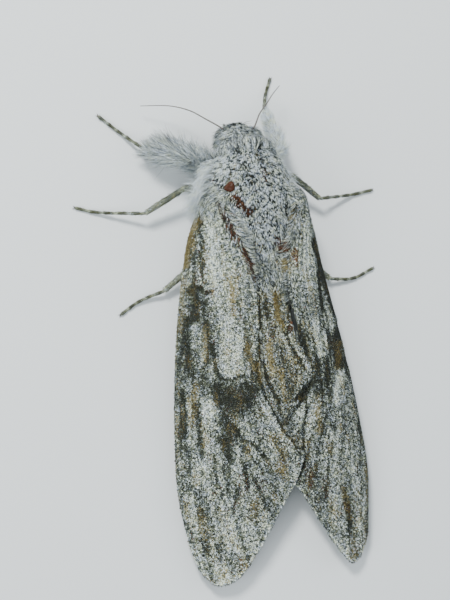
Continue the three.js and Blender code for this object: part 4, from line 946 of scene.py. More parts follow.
def shoulder_fur(name, side, upper):
    """Soft pale fur over the root of the wing, thinning out along it."""
    draw = np.random.default_rng(int(70 + side))
    s = np.linspace(0, 1, WING_GRID[0])[:, None]
    u, v = upper.spread(SHOULDER, draw, 1 - smooth(s, 0.02, 0.10))
    root, out, along, _ = upper.at(u, v)
    pale, rust, _ = wing_marks(name, u, v)
    lie = swayed(along, out, draw, 0.35)
    length = (1.8 - 9 * np.minimum(u, 0.1)) * (0.7 + 0.5 * draw.random(SHOULDER))
    rise = 0.9 * (0.6 + 0.5 * draw.random(SHOULDER))
    shape = tuft_shape(root - out * 0.1, out, lie, length, 0.22, rise, 0.55, taper=0.35)
    marks = {"pale": grained(0.62 + 0.6 * (pale - 0.5), draw, 0.8), "rust": 0.5 * rust}
    coat("shoulder_fur_" + name, shape, (u, v), marks, FUR, "fur")


def margin_hair(name, side, upper):
    """Hair along the inner edge, from the root to where the wings meet, that bridges the wing and the
    back. Every second or third tuft hangs. On the right some also bridges the slit beside the field."""
    draw = np.random.default_rng(int(80 + side))
    u = 0.02 + (0.29 if side < 0 else 0.38) * draw.random(MARGIN) ** 0.9
    v = 0.90 + 0.098 * draw.random(MARGIN) ** 0.6
    root, out, along, across = upper.at(u, v)
    along, across = unit(along), unit(across)
    inwards = smooth(v, 0.93, 0.985)
    hangs = (np.arange(MARGIN) % (2 if side > 0 else 3) == 0) * inwards
    hangs = hangs * smooth(u, 0.06, 0.10) * (1 - smooth(u, 0.30, 0.36))
    slit = smooth(u, 0.16, 0.24) if side > 0 else 0 * u
    out = unit(out + (1.8 * hangs)[:, None] * across)
    lie = along + (0.2 + 0.9 * inwards)[:, None] * (across - 0.5 * UP)
    lie = swayed(lie - (2.0 * hangs)[:, None] * UP, out, draw, 0.2)
    lie = lie + (0.7 * slit * inwards)[:, None] * across
    length = 1.2 + 2.0 * inwards * hump(u, 0.14, 0.12) + 0.7 * inwards * slit + hangs
    length = length * (0.7 + 0.5 * draw.random(MARGIN))
    rise = 0.25 + 0.25 * draw.random(MARGIN)
    shape = tuft_shape(root - out * 0.1, out, lie, length, 0.19, rise, 0.55, taper=0.4)
    marks = wing_marks(name, u, v, root + 0.55 * length[:, None] * lie)
    coat("margin_hair_" + name, shape, (u, v), speckled(marks, draw, 0.8), FUR, "forewing")


# ---------------------------------------------------------------- the inner field
FIELD_GRID = (190, 80)
FIELD_AHEAD = 0.12  # how far ahead of its reach it runs on, under the fur of the back
FIELD_SCALES, FIELD_FRINGE, REAR_FUR = 11000, 500, 2600


def inner_field():
    """The left forewing past its fold. A row of it runs from the wing to the field's own edge, sagging
    between them as a half sine. Ahead of its reach the sheet bends down by the square of the distance,
    and behind it two soft steps, by the cube of the share across, let it down onto the right wing."""
    t, c = shares(*FIELD_GRID, start=-FIELD_AHEAD)
    inside, ahead = np.maximum(t, 0), np.maximum(-t, 0)
    fold = WINGS["left"].at(FIELD_REACH[0] + (FIELD_REACH[1] - FIELD_REACH[0]) * inside, FIELD_FOLD)
    p = fold * (1 - c[..., None]) + Curve(FIELD_EDGE).at(inside) * c[..., None]
    p[..., 0] += 12 * ahead * c
    p[..., 1] += 34 * ahead
    p[..., 2] -= FIELD_SAG * np.sin(np.pi * c) + 190 * ahead**2
    p[..., 2] -= (0.62 * smooth(t, 0.46, 0.56) + 0.45 * smooth(t, 0.72, 0.88)) * c**3
    pale, rust, ochre = field_marks(p, t, c)
    folds = 0.22 * STREAK(t * 4 + 3, c * 9) + 0.10 * FINE(t * 9, c * 26)
    lift = folds * (smooth(c, 0, 0.08) * smooth(1 - c, 0, 0.06)) + creases("field", p)
    thin = MEMBRANE * (0.35 + 0.65 * smooth(np.minimum(c, 1 - c), 0, 0.07))
    marks = (pale * 0.85, rust, ochre)
    upper = sheet("forewing_left_field", Grid(p), lift, thin, LEFT, marks, WING_SKIN, "forewing")
    field_scales(upper)
    field_fringe(upper)
    rear_fur(upper)
    return p


def field_scales(upper):
    """Scales over the field, lying back and a little towards its edge."""
    draw = np.random.default_rng(45)
    u, v = upper.spread(FIELD_SCALES, draw)
    root, out, along, _ = upper.at(u, v)
    marks = field_marks(root, u * (1 + FIELD_AHEAD) - FIELD_AHEAD, v)
    scale_coat("forewing_left_field_scales", (u, v), root, unit(out), along, marks, draw, 0.1)


def field_fringe(upper):
    """Short hairs off the far half of the field's edge, hanging down onto the right wing."""
    draw = np.random.default_rng(47)
    t = 0.52 + 0.48 * draw.random(FIELD_FRINGE)
    u, v = (t + FIELD_AHEAD) / (1 + FIELD_AHEAD), 0.985 + 0.014 * draw.random(FIELD_FRINGE)
    root, out, along, across = upper.at(u, v)
    across = unit(across)
    out = unit(unit(out) + 1.2 * across)
    lie = swayed(0.8 * unit(along) + 0.6 * across - 0.9 * UP, out, draw, 0.25)
    length, rise = 0.7 + 0.5 * draw.random(FIELD_FRINGE), 0.3 + 0.3 * draw.random(FIELD_FRINGE)
    shape = tuft_shape(root - UP * 0.1, out, lie, length, 0.2, rise, sink=0.15)
    marks = speckled(field_marks(root, t, v), draw, 0.6, paler=0.08)
    coat("forewing_left_field_fringe", shape, (u, v), marks, WING_SCALE, "forewing")


def rear_fur(upper):
    """Fur like the back's over the front of the field, thinning out along it, so that no step shows."""
    draw = np.random.default_rng(46)
    t = np.linspace(-FIELD_AHEAD, 1, FIELD_GRID[0])[:, None]
    u, v = upper.spread(REAR_FUR, draw, 1 - smooth(t, 0.0, 0.16))
    root, out, along, _ = upper.at(u, v)
    out = unit(out)
    lie = swayed(along, out, draw, 0.3)
    length, rise = 1.2 * (0.7 + 0.6 * draw.random(REAR_FUR)), 0.5 + 0.4 * draw.random(REAR_FUR)
    shape = tuft_shape(root, out, lie, length, 0.23, rise, 0.55, taper=0.3)
    coat("rear_fur", shape, (u, v), speckled(body_marks(root), draw, paler=0.04), FUR, "fur")


# ---------------------------------------------------------------- hindwings
HIND_GRID = (90, 41)
HIND_PLEATS, HIND_VEINS = 4, 12


def hindwing(name, side):
    """A pleated sheet under the forewing: a band of its patch, lowered, with columns raised in turn."""
    r, c = shares(*HIND_GRID)
    low, high = 0.2 + 0.14 * r**2, 0.95 - 0.25 * smooth(r, 0.6, 1)
    base = upright(Grid(WINGS[name].at(0.02 + 0.58 * r, low + (high - low) * c), flip=side > 0))
    pleat = 0.28 * smooth(r, 0.05, 0.4) * (0.5 - 0.5 * np.cos(2 * np.pi * HIND_PLEATS * c))
    lift = pleat + 0.05 * np.cos(2 * np.pi * HIND_VEINS * c) - HIND_DROP
    pale = np.clip(0.42 + 0.25 * STREAK(r * 10, c * 20) + 0.2 * FINE(r * 30, c * 60) - 0.15 * r, 0, 1)
    thin, marks, solid = np.full(r.shape, 0.3), (pale, 0.12, 0.35), "hindwing_" + name
    sheet(solid + "_skin", base, lift, thin, side, marks, HIND_SKIN, "hindwing", [solid])


# ---------------------------------------------------------------- where the wings are
FIELD = inner_field()
CELL = 0.4
PLAN = (np.array([-26.0, -88.0]), np.array([26.0, 6.0]))
NO_WING = -99.0


def wing_map():
    """The height of the wings' middle surface over each small cell of the plan, or NO_WING."""
    tops = np.full(np.ceil((PLAN[1] - PLAN[0]) / CELL).astype(int), NO_WING)
    s, v = shares(620, 260)
    for p in (WINGS["left"].at(s, v), WINGS["right"].at(s, v), FIELD):
        p = p.reshape(-1, 3)
        i, j = ((p[:, :2] - PLAN[0]) / CELL).astype(int).T
        np.maximum.at(tops, (i, j), p[:, 2])
    return tops


WING_MAP = wing_map()


def wing_height(points):
    """Where a wing is over or under each point, and its height there."""
    cell = ((points[..., :2] - PLAN[0]) / CELL).astype(int)
    i, j = (np.clip(cell[..., k], 0, WING_MAP.shape[k] - 1) for k in (0, 1))
    inside = np.all((points[..., :2] > PLAN[0]) & (points[..., :2] < PLAN[1]), -1)
    height = np.where(inside, WING_MAP[i, j], NO_WING)
    return height > NO_WING / 2, height


def lay_on_wings(points):
    """Fur that meets a wing from above lies on it, and fur that meets it from below stays under it."""
    winged, height = wing_height(points)
    z = points[..., 2]
    over = winged & (z > height - 1.2) & (z < height + 0.5)
    under = winged & (z <= height - 1.2) & (z > height - 2.0)
    points[..., 2] = np.where(over, height + 0.5, np.where(under, height - 2.0, z))
    return points


def stay_under_wings(points):
    """Hair that reaches back under a wing keeps clear of it."""
    winged, height = wing_height(points)
    points[..., 2] = np.where(winged, np.minimum(points[..., 2], height - 0.6), points[..., 2])
    return points


# ---------------------------------------------------------------- head, thorax and abdomen
BODY_ROWS, BODY_COLUMNS = 300, 120


def out_share(rows, sink, p, aside=0.0):
    """How far out points lie in a body of rows, less the coat's depth: 1 on its surface."""
    x, y, z = parts(p)
    middle, half, rise, drop = track(rows, y)
    dx = (x - aside) / np.maximum(half - sink, 0.05)
    dz = (z - middle) / np.maximum(np.where(z > middle, rise, drop) - sink, 0.05)
    inside = (y > rows[0, 0] + sink * 0.4) & (y < rows[-1, 0] - sink * 0.4)
    return np.where(inside, np.maximum(np.hypot(dx, dz), 1e-3), 60.0)


def body_grid():
    """One skin from tail to head. Each ray out from a line through the body is halved in to the point
    where the three bodies' shares, blended by their eighth powers, come to 1. Shrinking rings close the
    face, so that fur grows there too."""
    y = np.linspace(ABDOMEN_ROWS[0, 0] + 0.35, HEAD_ROWS[-1, 0] - 0.3, BODY_ROWS)[:, None]
    turn = turns(BODY_COLUMNS)[None, :]
    height = np.interp(y, [-44, -25, -14, -6, 8, 12, 17], [6.6, 6.9, 8.4, 9.6, 9.2, 8.6, 8.0])
    aside = HEAD_ASIDE * smooth(y, 9, 13)
    at = lambda r: directions(aside + r * np.cos(turn), y, height + r * np.sin(turn))
    near, far = np.zeros((BODY_ROWS, BODY_COLUMNS)), np.full((BODY_ROWS, BODY_COLUMNS), 14.0)
    for _ in range(26):
        middle = (near + far) / 2
        p = at(middle)
        shares_out = (
            out_share(THORAX_ROWS, THORAX_SINK, p), out_share(ABDOMEN_ROWS, ABDOMEN_SINK, p),
            out_share(HEAD_ROWS, HEAD_SINK, p, HEAD_ASIDE),
        )
        blended = sum(share**-8.0 for share in shares_out) ** (-1 / 8)
        near, far = np.where(blended < 1, middle, near), np.where(blended < 1, far, middle)
    ring = ((y + 44.6) / 36.6 * ABDOMEN_SEGMENTS) % 1
    r = near - SEGMENT_STEP * (0.5 - ring) * smooth(-y, 12, 16) * smooth(y, -44.3, -42) * (near > 2)
    for _ in range(2):
        r = (np.vstack([r[:1], r[:-1]]) + 2 * r + np.vstack([r[1:], r[-1:]])) / 4
    p = at(np.maximum(r, 0.2))
    p[..., 2] = np.maximum(p[..., 2], 0.35)
    shrink = np.array([0.8, 0.6, 0.4, 0.2, 0.08])[:, None, None]
    face = p[-1].mean(0) + (p[-1] - p[-1].mean(0)) * shrink
    face[..., 1] += 0.12 * (1 - shrink[..., 0] ** 2)
    return Grid(np.concatenate([p, face]), ring=True)


def body_skin():
    """The skin under the fur, closed at both ends."""
    grid = body_grid()
    points, faces = closed_loft(grid)
    pale, rust, ochre = body_marks(points)
    # A reach of 0 gives the skin under the fur the full painted shade of the roots.
    marks = {"pale": pale * 0.8, "rust": rust, "ochre": ochre, "reach": 0.0}
    piece("body_skin", points, faces, SKIN, "fur", marks, ["thorax", "head", "abdomen"])
    return grid


def body_coat(
    name, count, seed, where, length, width, rise, lie_of, finish=FUR, slot="fur", grain=1.0, paler=0.12,
):
    """Tufts over a part of the body. `where` weighs the grid's points, `lie_of` gives their lie, and
    length and rise are numbers or are worked out at the roots."""
    draw = np.random.default_rng(seed)
    winged, height = wing_height(BODY.full)
    gap = height - BODY.full[..., 2]
    pressed = winged & (gap > -0.6) & (gap < 2.6)
    u, v = BODY.spread(count, draw, where(BODY.full) * np.where(pressed, 0.0, 1.0))
    root, out, _, _ = BODY.at(u, v)
    out = unit(out)
    winged, height = wing_height(root)
    sheltered = winged & (height > root[:, 2])
    lie = swayed(lie_of(root), out, draw, 0.3)
    size = 0.75 + 0.5 * draw.random(count)
    far = (length(root) if callable(length) else length) * size * np.where(sheltered, 0.6, 1.0)
    marks = body_marks(root + 0.5 * far[:, None] * lie)
    up = (rise(root) if callable(rise) else rise) * (0.8 + 0.4 * draw.random(count))
    up = up * np.where(sheltered, 0.5, 1.0)
    shape = tuft_shape(root, out, lie, far, width * size, up, 0.55, taper=0.3)
    marks = speckled(marks, draw, grain, root + 0.5 * out, FUR_CELL, paler=paler)
    coat(name, shape, (u, v), marks, finish, slot, lay=lay_on_wings, cool=0.4)


def back_lie(root):
    """Fur of the back lies towards the tail and leans outwards at the sides."""
    return directions(0.05 * root[:, 0], -1.0, 0.0)


def head_lie(root):
    """Fur of the face sweeps up, that of the crown back, and that over the eyes out."""
    return directions(0.25 * (root[:, 0] - HEAD_ASIDE), -1.0, 0.6)


def brow_lie(root):
    """Fur beside the eyes lies outwards, over them."""
    return directions(np.sign(root[:, 0] - HEAD_ASIDE), 0.12 * (root[:, 1] - 13.0), 0.35)


def strip_lie(root):
    """White hair lies along its strip."""
    return directions(0.5 + 0 * root[:, 0], -0.87, 0.0)


def collar_lie(root):
    """Fur of the collar lies forwards and out, over the neck."""
    return directions(0.12 * root[:, 0], 1.0, 0.3)


def beside_wings(root):
    """From 0 to 1 where the back falls away from the wings' inner edges."""
    x, y, z = parts(root)
    edge = np.interp(y, [-16, -12, -8, -4, 0], [4.2, 5.4, 7.0, 8.4, 8.4])
    return hump(np.abs(x), edge, 1.9) * smooth(-y, 0, 3) * smooth(z, 11, 12.5)


def thorax_length(root):
    """Longer at the back's two ends, and longest beside the wings."""
    y = root[:, 1]
    ends_more = 0.8 + 1.0 * (1 - smooth(y, -15.5, -11)) + 1.1 * smooth(y, 7.5, 10.5)
    return ends_more + 2.6 * beside_wings(root)


def thorax_rise(root):
    """It stands steep, and lower towards the abdomen and the collar."""
    y = root[:, 1]
    lower = 0.5 * (1 - smooth(y, -14.5, -10))
    return 1.25 + 0.15 * beside_wings(root) - lower - 0.35 * smooth(y, 7.0, 10.0)


def thorax_where(p):
    """All round the thorax, thinner below, and not on the bare spot."""
    x, y, z = parts(p)
    away = np.hypot(x - BARE_SPOT[0], y - BARE_SPOT[1] - 0.4) / (BARE_RADIUS + 0.35)
    furred = 1 - np.exp(-(away**6)) * smooth(z, 9, 12)
    seen = 0.45 + 0.55 * smooth(z, 3, 9)
    return smooth(y, -17.5, -16) * (1 - smooth(y, 10.5, 12.2)) * furred * seen


def brow_where(p):
    """A band on either side of the head, over the eyes."""
    x, y, z = parts(p)
    level = smooth(y, 10.3, 11.2) * (1 - smooth(y, 14.8, 15.6)) * smooth(z, 8.8, 9.6)
    return hump(np.abs(x - HEAD_ASIDE), 2.5, 0.9) * level


def strip_where(p):
    """A strip of white hair beside the left wing's inner edge."""
    x, y, z = parts(p)
    return hump(distance(x, y, WHITE_STRIP), 0, 0.2) * smooth(z, 11, 12)


def collar_where(p):
    """A band over the neck, thinner in its middle."""
    x, y, z = parts(p)
    sides = 0.25 + 0.75 * smooth(np.abs(x), 1.5, 3.5)
    return smooth(y, 7.5, 8.8) * (1 - smooth(y, 11.2, 12.2)) * smooth(z, 6.5, 8.5) * sides


def abdomen_where(p):
    """All round the abdomen, thinner below and thicker at its end."""
    _, y, z = parts(p)
    seen, end = 0.55 + 0.45 * smooth(z, 6, 11), 1 + 1.4 * smooth(-y, 38, 42)
    return (1 - smooth(y, -17, -15.5)) * seen * end


def bare_spot():
    """The rubbed spot of the back: a low glossy dome, its outline waved three times round."""
    x, y, z = parts(BODY.full)
    away = np.where(z > 12, np.hypot(x - BARE_SPOT[0], y - BARE_SPOT[1]), 99)
    nearest = np.unravel_index(away.argmin(), away.shape)
    out = unit(BODY.out[nearest])
    side = unit(np.cross(out, (0.0, 1.0, 0.0)))
    fore = np.cross(side, out)
    rise, turn = ball(28, 48)
    wide = BARE_RADIUS * (1 + 0.10 * np.cos(3 * turn + 0.6) + 0.08 * np.cos(2 * turn + 1)) * np.cos(rise)
    lumps = BLOTCH(3 * np.cos(turn) * np.cos(rise) + 5, 3 * np.sin(turn) * np.cos(rise) + 5)
    tall = 0.55 * np.sin(rise) + 0.12 * lumps
    middle = BODY.full[nearest] + out * (tall[..., None] + 0.25)
    p = middle + side * (wide * np.cos(turn))[..., None] + fore * (wide * np.sin(turn))[..., None]
    points, faces = closed_loft(Grid(p, ring=True))
    piece("bare_spot", points, faces, BARE_HORN, "fur", {})


def flank_hair(name, side, count, seed, reach):
    """Long pale hair from the side of the thorax, sweeping out and back over the bases of the legs."""
    draw = np.random.default_rng(seed)
    x, y, z = parts(BODY.full)
    span = smooth(y, -7, -2) * (1 - smooth(y, 6, 9))
    u, v = BODY.spread(count, draw, hump(z, 6.8, 2.8) * span * (x * side > 3))
    root, out, _, _ = BODY.at(u, v)
    _, y, z = parts(root)
    clump = BLOTCH(y * 1.1, z * 1.1 + 7 * side)
    out = unit(out)
    lie = swayed(directions(0.8 * side, -0.62 + 0.09 * y, -0.2), out, draw, 0.3, 1.3 * clump)
    length = reach * (0.5 + 0.5 * draw.random(count))
    length = length * (0.6 + 0.4 * hump(y, 2.0, 6.0)) * (1 + 0.8 * clump)
    width = 0.17 * (0.7 + 0.6 * draw.random(count))
    shape = tuft_shape(root, out, lie, length, width, 0.85 + 0.6 * draw.random(count))
    pale = np.clip(1.15 + draw.normal(0, 0.28, count) + 0.5 * BLOTCH(y * 2.3, z * 2.3), 0, 1)
    marks = {"pale": pale}
    coat("flank_hair_" + name, shape, (u, v), marks, SOFT_FUR, "fur", lay=lay_on_wings, cool=0.6)


TAIL_HAIR = 2100


def tail_hair():
    """Longer hair round the end of the abdomen and along its hind edges, reaching under the wings."""
    draw = np.random.default_rng(140)
    _, y, z = parts(BODY.full)
    weight = (1 - smooth(y, -34, -29)) * smooth(z, 2.5, 6) * (0.4 + 0.6 * smooth(-y, 36, 41))
    u, v = BODY.spread(TAIL_HAIR, draw, weight)
    root, out, _, _ = BODY.at(u, v)
    out = unit(out)
    lie = swayed(directions(0.10 * root[:, 0], -1.0, 0.0), out, draw, 0.2)
    length = (2.6 + 1.9 * smooth(-root[:, 1], 36, 43)) * (0.7 + 0.5 * draw.random(TAIL_HAIR))
    width = 0.22 * (0.7 + 0.6 * draw.random(TAIL_HAIR))
    shape = tuft_shape(root, out, lie, length, width, 0.5 + 0.35 * draw.random(TAIL_HAIR))
    pale, rust, ochre = body_marks(root)
    marks = {"pale": grained(pale + 0.15, draw, 0.6), "rust": rust}
    marks["ochre"] = flecked(np.clip(ochre + 0.1, 0, 1), draw)
    coat("tail_hair", shape, (u, v), marks, FUR, "abdomen", lay=stay_under_wings)


# ---------------------------------------------------------------- legs, antennae, palps and eyes
LEG_STEPS = (12, 30, 34, 60)  # how many points lie along the coxa, thigh, shin and foot
LEG_SIDES = 18
LEG_SCALES, BRUSH = 950, 8000


def eased(path, times):
    """A path with its inner points drawn to their neighbours' middle."""
    for _ in range(times):
        path[1:-1] = (path[:-2] + 2 * path[1:-1] + path[2:]) / 4
    return path


def leg(name, side, coxa, hip, knee, ankle, tarsus, coat):
    """A swept tube along straight limbs with eased knees and a curved foot: each limb tapers, and the
    foot swells at every joint. Returns its path."""
    place = lambda p: np.asarray(p, float) * (side, 1, 1)
    joints = [place(p) for p in (coxa, hip, knee, ankle)]
    step = [np.linspace(0, 1, n, endpoint=False) for n in LEG_STEPS[:3]]
    foot = np.linspace(0, 1, LEG_STEPS[3] + 1)[1:]
    runs = [a + (b - a) * t[:, None] for a, b, t in zip(joints, joints[1:], step)]
    upper = eased(np.vstack([*runs, joints[-1:]]), 3)
    path = eased(np.vstack([upper, Curve([joints[-1], *map(place, tarsus)]).at(foot)]), 2)
    part = np.concatenate([step[0], 1 + step[1], 2 + step[2], [3.0], 3 + foot])
    t = part % 1
    joint = (t * TARSOMERES) % 1
    bones = [part < 1, part < 2, part < 3]
    swell = np.sin(np.pi * t)
    thigh, shin = 0.98 * (1 - 0.34 * t) * (1 + 0.10 * swell), 0.66 * (0.86 + 0.16 * swell)
    toes = 0.31 + 0.10 * joint**0.8 - 0.06 * smooth(joint, 0.86, 1.0) - 0.05 * (part - 3)
    radius = np.select(bones, [1.25 - 0.3 * t, thigh, shin], toes)
    radius = np.maximum(radius, 0.2)
    radius[-1] = 0.12
    path[:, 2] = np.maximum(path[:, 2], radius + FLOOR_CLEAR)
    grid = sweep(path, radius, LEG_SIDES)
    foot_pale = 0.33 + 0.34 * hump(joint, 0.04, 0.24) + 0.34 * hump(joint, 1.04, 0.16)
    foot_pale = foot_pale + 0.2 * STREAK(part * 23, part * 0)
    shin_pale = 0.50 + 0.2 * (hump(t, 0.03, 0.04) + hump(t, 0.97, 0.04))
    shin_pale = shin_pale + 0.2 * STREAK(part * 9, part * 0)
    pale = np.clip(np.select(bones, [0.6 + 0 * t, 0.56 - 0.06 * t, shin_pale], foot_pale), 0, 1)
    points, faces = closed_loft(grid)
    own = np.append(np.repeat(pale, LEG_SIDES), [pale[0], pale[-1]])
    marks = {"pale": own * 0.9, "rust": 0.0, "ochre": 0.08, "reach": 0.5}
    piece("leg_" + name + "_skin", points, faces, LEG_SKIN, "leg", marks, ["leg_" + name])
    leg_scales(name, grid, part, pale)
    if coat:
        leg_brush(name, grid, part, coat)
    return path


def leg_scales(name, grid, part, bands):
    """Short flat tufts down the leg, carrying its bands."""
    draw = np.random.default_rng(len(name) * 7 + 90)
    u, v = grid.spread(LEG_SCALES, draw, (0.3 + smooth(part, 0.8, 1.2))[:, None])
    root, out, along, _ = grid.at(u, v)
    out = unit(out)
    at = np.interp(u, np.linspace(0, 1, len(part)), part)
    pale = grid.read(np.repeat(bands[:, None], LEG_SIDES + 1, 1), u, v)
    size = np.interp(at, [0, 1, 2, 3, 4], [1.1, 1.0, 0.85, 0.62, 0.42])
    size = size * (0.6 + 0.8 * draw.random(LEG_SCALES))
    lie = swayed(along, out, draw, 0.25)
    rise = 0.3 + 0.45 * draw.random(LEG_SCALES)
    shape = tuft_shape(root, out, lie, size, 0.16 + 0.05 * size, rise, sink=0.12)
    marks = {"pale": grained(pale, draw, 0.6), "ochre": flecked(0.08 + 0 * pale, draw)}
    coat("leg_scales_" + name, shape, (u, v), marks, LEG_SKIN, "leg")


def leg_brush(name, grid, part, length):
    """The foreleg's thick brush: long soft hair all round the thigh and shin, sweeping to the foot. The
    long one, on the left, also leans to the front."""
    draw = np.random.default_rng(len(name) + 300)
    full = length > 3
    count = BRUSH if full else BRUSH * 3 // 4
    weight = smooth(part, 0.9, 1.3) * (1 - smooth(part, 2.7, 3.02))
    u, v = grid.spread(count, draw, weight[:, None])
    root, out, along, _ = grid.at(u, v)
    out = unit(out)
    x, y, z = parts(root)
    at = np.interp(u, np.linspace(0, 1, len(part)), part)
    lie = unit(along) + (0.7 if full else 0.1) * np.array([0.0, 1.0, 0.0])
    size = length * (0.5 + 0.72 * draw.random(count))
    clump = BLOTCH(x * 1.3, y * 1.3 + z)
    size = size * np.interp(at, [1, 1.6, 2.4, 3], [0.75, 1.0, 0.95, 0.5]) * (1 + 0.6 * clump)
    lie = swayed(lie, out, draw, 0.32, clump)
    width = 0.125 * (0.7 + 0.6 * draw.random(count))
    shape = tuft_shape(root, out, lie, size, width, 0.75 + 0.65 * draw.random(count))
    pale = (0.66 if full else 1.14) + 0.3 * BLOTCH(x * 0.9, y * 0.9) + draw.normal(0, 0.3, count)
    coat("leg_brush_" + name, shape, (u, v), {"pale": np.clip(pale, 0, 1)}, SOFT_FUR, "fur", cool=0.5)


def horns(tips):
    """Small curved horns, each a swept cone: claws of the feet and spurs of the shins."""
    grids = []
    for root, tip, radius in tips:
        t = np.linspace(0, 1, 12)[:, None]
        sag = UP * (0.12 * np.linalg.norm(tip - root)) * np.sin(np.pi * t)
        path = root + (tip - root) * t + sag
        grids.append(closed_loft(sweep(path, radius * np.maximum(1 - t[:, 0], 0.08) ** 0.7, 8)))
    starts = np.cumsum([0] + [len(points) for points, _ in grids[:-1]])
    points = np.vstack([points for points, _ in grids])
    faces = [np.vstack([made[1][k] + start for made, start in zip(grids, starts)]) for k in (0, 1)]
    piece("claws_and_spurs", points, faces, CLAW_HORN, "leg", {})


ANTENNA_JOINTS = 60


def antenna(name, places):
    """A thread of many short joints, each a little wider at its far end."""
    t = np.linspace(0, 1, 241)
    radius = (0.20 - 0.12 * t) * (0.88 + 0.2 * (t * ANTENNA_JOINTS % 1)) * (1 + 0.6 * hump(t, 0, 0.03))
    points, faces = closed_loft(sweep(Curve(places).at(t), radius, 12))
    piece("antenna_" + name + "_horn", points, faces, ANTENNA_HORN, "antenna", {}, ["antenna_" + name])


PALP_FUR = 400


def palp(name, x0, x1):
    """A short feeler under the face, blunt at its tip, with its fur."""
    t = np.linspace(0, 1, 30)
    path = Curve([(x0, 13.9, 6.0), ((x0 + x1) / 2, 15.2, 5.6), (x1, 15.9, 6.2)]).at(t)
    grid = sweep(path, 0.5 * np.sqrt(np.maximum(1 - 0.95 * t**3, 0.02)) * (1 - 0.3 * t), 16)
    marks = {"pale": 0.4, "rust": 0.0, "ochre": 0.1, "reach": 0.4}
    piece("palp_" + name + "_skin", *closed_loft(grid), SKIN, "fur", marks, ["palp_" + name])
    draw = np.random.default_rng(500 + int(x1 * 10))
    u, v = grid.spread(PALP_FUR, draw)
    root, out, along, _ = grid.at(u, v)
    length, rise = 0.5 + 0.3 * draw.random(PALP_FUR), 0.5 + 0.3 * draw.random(PALP_FUR)
    shape = tuft_shape(root, unit(out), unit(along), length, 0.13, rise, sink=0.15)
    marks = {"pale": grained(np.full(PALP_FUR, 0.5), draw, 0.5), "ochre": 0.1}
    coat("palp_fur_" + name, shape, (u, v), marks, FUR, "fur")


def eye(name, side):
    """A bulging compound eye: a sphere a little narrower across and taller."""
    rise, turn = ball(40, 56)
    x, z = np.cos(rise) * np.cos(turn), np.cos(rise) * np.sin(turn)
    p = directions(0.85 * x, np.sin(rise), 1.05 * z) * (EYE_RADIUS - 0.02)
    points, faces = closed_loft(Grid(p + (HEAD_ASIDE + side * 3.3, 13.3, 8.0), ring=True))
    piece("eye_" + name + "_facets", points, faces, EYE_GLASS, "eye", {}, ["eye_" + name])


# ---------------------------------------------------------------- the moth
# Each coat: count, seed, where it grows, length, width, rise and lie.
for wing_name, wing_side in SIDES.items():
    forewing(wing_name, wing_side)
    hindwing(wing_name, wing_side)

BODY = body_skin()
bare_spot()
for number in (1, 2):
    body_coat(
        f"thorax_fur_{number}", 19500, 100 + number, thorax_where, thorax_length, 0.26, thorax_rise,
        back_lie, grain=1.15, paler=0.20,
    )
body_coat(
    "head_fur", 7800, 110, lambda p: smooth(p[..., 1], 10.5, 11.8),
    lambda root: 1.7 - 0.5 * smooth(root[:, 1], 12.5, 15), 0.22, 0.85, head_lie,
)
body_coat("collar_fur", 2600, 112, collar_where, 2.3, 0.23, 1.25, collar_lie, paler=0.04)
body_coat("white_strip", 420, 113, strip_where, 1.9, 0.2, 1.0, strip_lie, SOFT_FUR, grain=0.2, paler=0.9)
body_coat("brow_fur", 3200, 111, brow_where, 3.3, 0.23, 0.55, brow_lie)
body_coat(
    "abdomen_fur", 5500, 120, abdomen_where, lambda root: 1.2 + 1.0 * smooth(root[:, 2], 9, 12), 0.27,
    0.7, back_lie, slot="abdomen", paler=0.2,
)
tail_hair()
flank_hair("left", LEFT, 6000, 130, 7.0)
flank_hair("right", RIGHT, 3000, 131, 4.6)

SPUR_ROOT = LEG_STEPS[0] + LEG_STEPS[1] + 26  # the point of the leg's path where its spurs stand
ends = []
for leg_name, shape in LEGS.items():
    walk = leg(leg_name, **shape)
    last = walk[-1]
    ahead = unit(last - walk[-4])
    across = unit(np.cross(ahead, UP))
    for way in (-1, 1):
        ends.append((last - ahead * 0.2, last + ahead * 0.55 + across * 0.32 * way - UP * 0.02, 0.13))
    if not shape["coat"]:
        shin = walk[SPUR_ROOT]
        down = unit(walk[SPUR_ROOT + 6] - shin)
        for way in (-1, 1):
            ends.append((shin, shin + down * 1.9 + across * 0.75 * way - UP * 0.1, 0.17))
for _, tip, _ in ends:
    tip[2] = max(tip[2], 0.16)
horns(ends)

for antenna_name, places in ANTENNAE.items():
    antenna(antenna_name, places)
for palp_name, (palp_root, palp_tip) in PALPS.items():
    palp(palp_name, palp_root, palp_tip)
for eye_name, eye_side in SIDES.items():
    eye(eye_name, eye_side)


# ---------------------------------------------------------------- floor, lights and camera
def floor(half):
    """A flat square under the moth."""
    mesh = bpy.data.meshes.new("floor")
    corners = [(-half, -half, 0), (half, -half, 0), (half, half, 0), (-half, half, 0)]
    mesh.from_pydata(corners, [], [(0, 1, 2, 3)])
    paint, tree, shader = blank("Pale floor")
    feed(tree, shader, {"Base Color": (0.77, 0.82, 0.83, 1), "Roughness": 0.85})
    mesh.materials.append(paint)
    linked("floor", mesh)


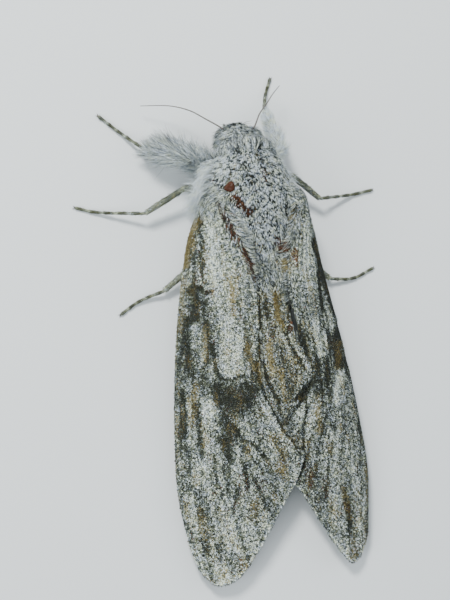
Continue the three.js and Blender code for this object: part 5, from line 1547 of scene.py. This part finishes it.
def stood(made, right, up, back, place):
    """Puts an object at a place, looking along the last of its three directions, backwards."""
    matrix = np.eye(4)
    matrix[:3, :3] = np.stack([right, up, back], 1)
    matrix[:3, 3] = place
    made.matrix_world = Matrix(matrix.tolist())


def light(name, place, size, power, color):
    """A round lamp that shines on the middle of the moth."""
    lamp = bpy.data.lights.new(name, "AREA")
    lamp.shape, lamp.size, lamp.energy, lamp.color = "DISK", size, power, color
    back = unit(np.asarray(place, float) - np.array([0.0, 0.0, 0.008]))
    right = unit(np.cross((0.0, 1.0, 0.01), back))
    stood(linked(name, lamp), right, np.cross(back, right), back, place)


floor(1.2)
light("key", (-0.20, 0.38, 0.45), 0.14, 4.6, (1.0, 0.985, 0.96))
light("fill", (-0.50, -0.15, 0.40), 0.4, 2.1, (0.95, 0.975, 1.0))
light("rim", (0.5, 0.1, 0.35), 0.4, 0.6, (1.0, 1.0, 1.0))
world = bpy.data.worlds.new("studio")
world.use_nodes = True
sky = world.node_tree.nodes["Background"]
feed(world.node_tree, sky, {"Color": (0.90, 0.95, 1.0, 1), "Strength": 0.66})
bpy.context.scene.world = world

# The camera looks down on the moth, a little from its left, and is turned a little about its sight.
TURN, ROLL = np.radians(18), np.radians(7)
DISTANCE = 0.36
TARGET = np.array([0.00215, -0.00173, 0.008])
FRAME_LONG, SENSOR = 0.132, 36.0  # what the picture's long side spans at the target, and on the sensor
SIGHT_SHIFT = (-38.5 / 600, 30.5 / 600)


def camera():
    """A camera that looks at the target from the direction of TURN, rolled by ROLL."""
    back = np.array([-np.sin(TURN), 0, np.cos(TURN)])
    up0 = unit(np.array([0.0, 1.0, 0.0]) - back * back[1])
    right0 = np.cross(up0, back)
    lens = bpy.data.cameras.new("camera")
    lens.lens = SENSOR * DISTANCE / FRAME_LONG
    lens.sensor_width = SENSOR
    lens.shift_x, lens.shift_y = SIGHT_SHIFT
    lens.clip_start, lens.clip_end = 0.01, 10
    made = linked("camera", lens)
    right = np.cos(ROLL) * right0 - np.sin(ROLL) * up0
    stood(made, right, np.sin(ROLL) * right0 + np.cos(ROLL) * up0, back, TARGET + DISTANCE * back)
    bpy.context.scene.camera = made


camera()
